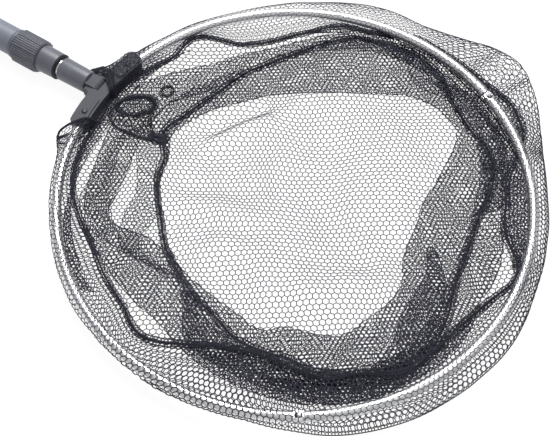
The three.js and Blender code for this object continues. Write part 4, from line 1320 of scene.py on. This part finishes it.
def makePouch():
    outline = pouchLine("outline")
    rim = [outline(i / pouch["rimSteps"]) for i in range(pouch["rimSteps"])]
    centre = sum(rim, Vector()) / len(rim)

    def inside(place):
        crossings = 0
        for a, b in zip(rim, rim[1:] + rim[:1]):
            if (a.y > place.y) != (b.y > place.y):
                crossings += place.x < a.x + (place.y - a.y) * (b.x - a.x) / (b.y - a.y)
        return crossings % 2

    def flatAway(spot, place):
        return math.hypot(spot.x - place.x, spot.y - place.y)

    def nearestRim(place):
        return min(rim, key=lambda spot: flatAway(spot, place))

    bm = bmesh.new()
    cells = 0
    for weave in (pouch["upper"], pouch["lower"]):
        part, drift = layField(weave, centre, pouch["reach"], lambda place: (place - centre).length < pouch["keep"])
        outside = [face for face in part.faces if not inside(face.calc_center_median())]
        bmesh.ops.delete(part, geom=outside, context="FACES")
        for vert in part.verts:
            if not inside(vert.co):
                vert.co = nearestRim(vert.co)

        def height(place):
            spot = nearestRim(place)
            return spot.z + weave["bulge"] * smoothStep(0, pouch["bulgeReach"], flatAway(spot, place))

        cells += settleLayer(bm, part, drift, weave, height)
    piece = finishPiece("net_pouch_mesh", bm, "netting", "head", (), 0)
    makeStrands(piece, pouch["strand"])
    declareNet(piece, pouch["width"], cutLength(cells, pouch["width"]))
    for name, roll in pouchRolls.items():
        makeRoll(f"net_pouch_{name}_core", f"net_pouch_{name}_roll", pouchLine(name), standing, roll)


makeNetSleeve()
makeNetWall()
makeNetBottom()
makeRoll("net_hem_core", "net_hem_roll", ringPath(hemLine, hemHeight), standing, hemRoll,
         ["hem_cord"])
makeRoll("net_seam_core", "net_seam_roll", ringPath(seamLine, lambda _degrees: wall["seamZ"]), standing, seamRoll,
         ["bottom_seam"])
for name, hem in endHems.items():
    makeEndHem(name, hem)
makePouch()
print("net: sleeve, wall, bottom, hem and seam")


# Hidden CAD pieces keep their shape and get the finish of the parts round them
for node in ("clamp_collet", "guide_bush"):
    frame["nodes"][node].data.materials.clear()
    frame["nodes"][node].data.materials.append(looks["lockPlastic"])


# Floor, light and camera

studio = {"floorSize": 6.0, "floorGap": 0.0002, "floorGlow": 0.9, "world": 0.52,
          "key": 34, "keySize": 0.95, "keyFrom": (-0.6, 0.85, 1.45),
          "fill": 6, "fillSize": 1.6, "fillFrom": (1.1, 0.5, 1.6)}


def makeFloor():
    bm = bmesh.new()
    bmesh.ops.create_grid(bm, x_segments=4, y_segments=4, size=studio["floorSize"] / 2)
    middle = hoopCentre * mm
    bmesh.ops.translate(bm, vec=(middle.x, middle.y, floorZ * mm - studio["floorGap"]), verts=bm.verts)
    mesh = bpy.data.meshes.new("floor")
    bm.to_mesh(mesh)
    bm.free()
    floor = bpy.data.objects.new("floor", mesh)
    look = Look(
        "paleFloor", Specular_IOR_Level=0.1, Emission_Color=(1, 1, 1, 1), Emission_Strength=studio["floorGlow"])
    grain = look.group(grainGroup, Fine=400, Slow=3)
    look.between(grain.outputs["Mottle"], (0.17, 0.17, 0.172), (0.19, 0.19, 0.19), "Base Color")
    look.range(grain.outputs["Height"], 0.75, 0.9, "Roughness")
    mesh.materials.append(look.material)
    bpy.context.scene.collection.objects.link(floor)


def addLamp(name, power, size, away):
    lamp = bpy.data.lights.new(name, "AREA")
    lamp.energy = power
    lamp.size = size
    holder = bpy.data.objects.new(name, lamp)
    holder.location = hoopCentre * mm + Vector(away)
    holder.rotation_mode = "QUATERNION"
    holder.rotation_quaternion = (-Vector(away)).to_track_quat("-Z", "Y")
    bpy.context.scene.collection.objects.link(holder)


def makeLight():
    world = bpy.data.worlds.new("softRoom")
    world.use_nodes = True
    fill(world.node_tree.nodes["Background"], Color=(1, 1, 1, 1), Strength=studio["world"])
    bpy.context.scene.world = world
    addLamp("keySoftbox", studio["key"], studio["keySize"], studio["keyFrom"])
    addLamp("fillSoftbox", studio["fill"], studio["fillSize"], studio["fillFrom"])
    bpy.context.scene.view_settings.view_transform = "Standard"


view = {"azimuth": 32.98, "elevation": 58.32, "distance": 1000, "lens": 78.74, "sensor": 36, "aim": (-0.9, -29.0, 0)}


def makeCamera():
    data = bpy.data.cameras.new("photoCamera")
    data.sensor_width = view["sensor"]
    data.lens = view["lens"]
    turn = math.radians(view["azimuth"])
    rise = math.radians(view["elevation"])
    back = Vector((math.sin(turn) * math.cos(rise), -math.cos(turn) * math.cos(rise), math.sin(rise)))
    camera = bpy.data.objects.new("photoCamera", data)
    camera.location = (hoopCentre + Vector(view["aim"]) + back * view["distance"]) * mm
    camera.rotation_mode = "QUATERNION"
    camera.rotation_quaternion = (-back).to_track_quat("-Z", "Y")
    bpy.context.scene.collection.objects.link(camera)
    bpy.context.scene.camera = camera


makeFloor()
makeLight()
makeCamera()
print("floor, light and camera")
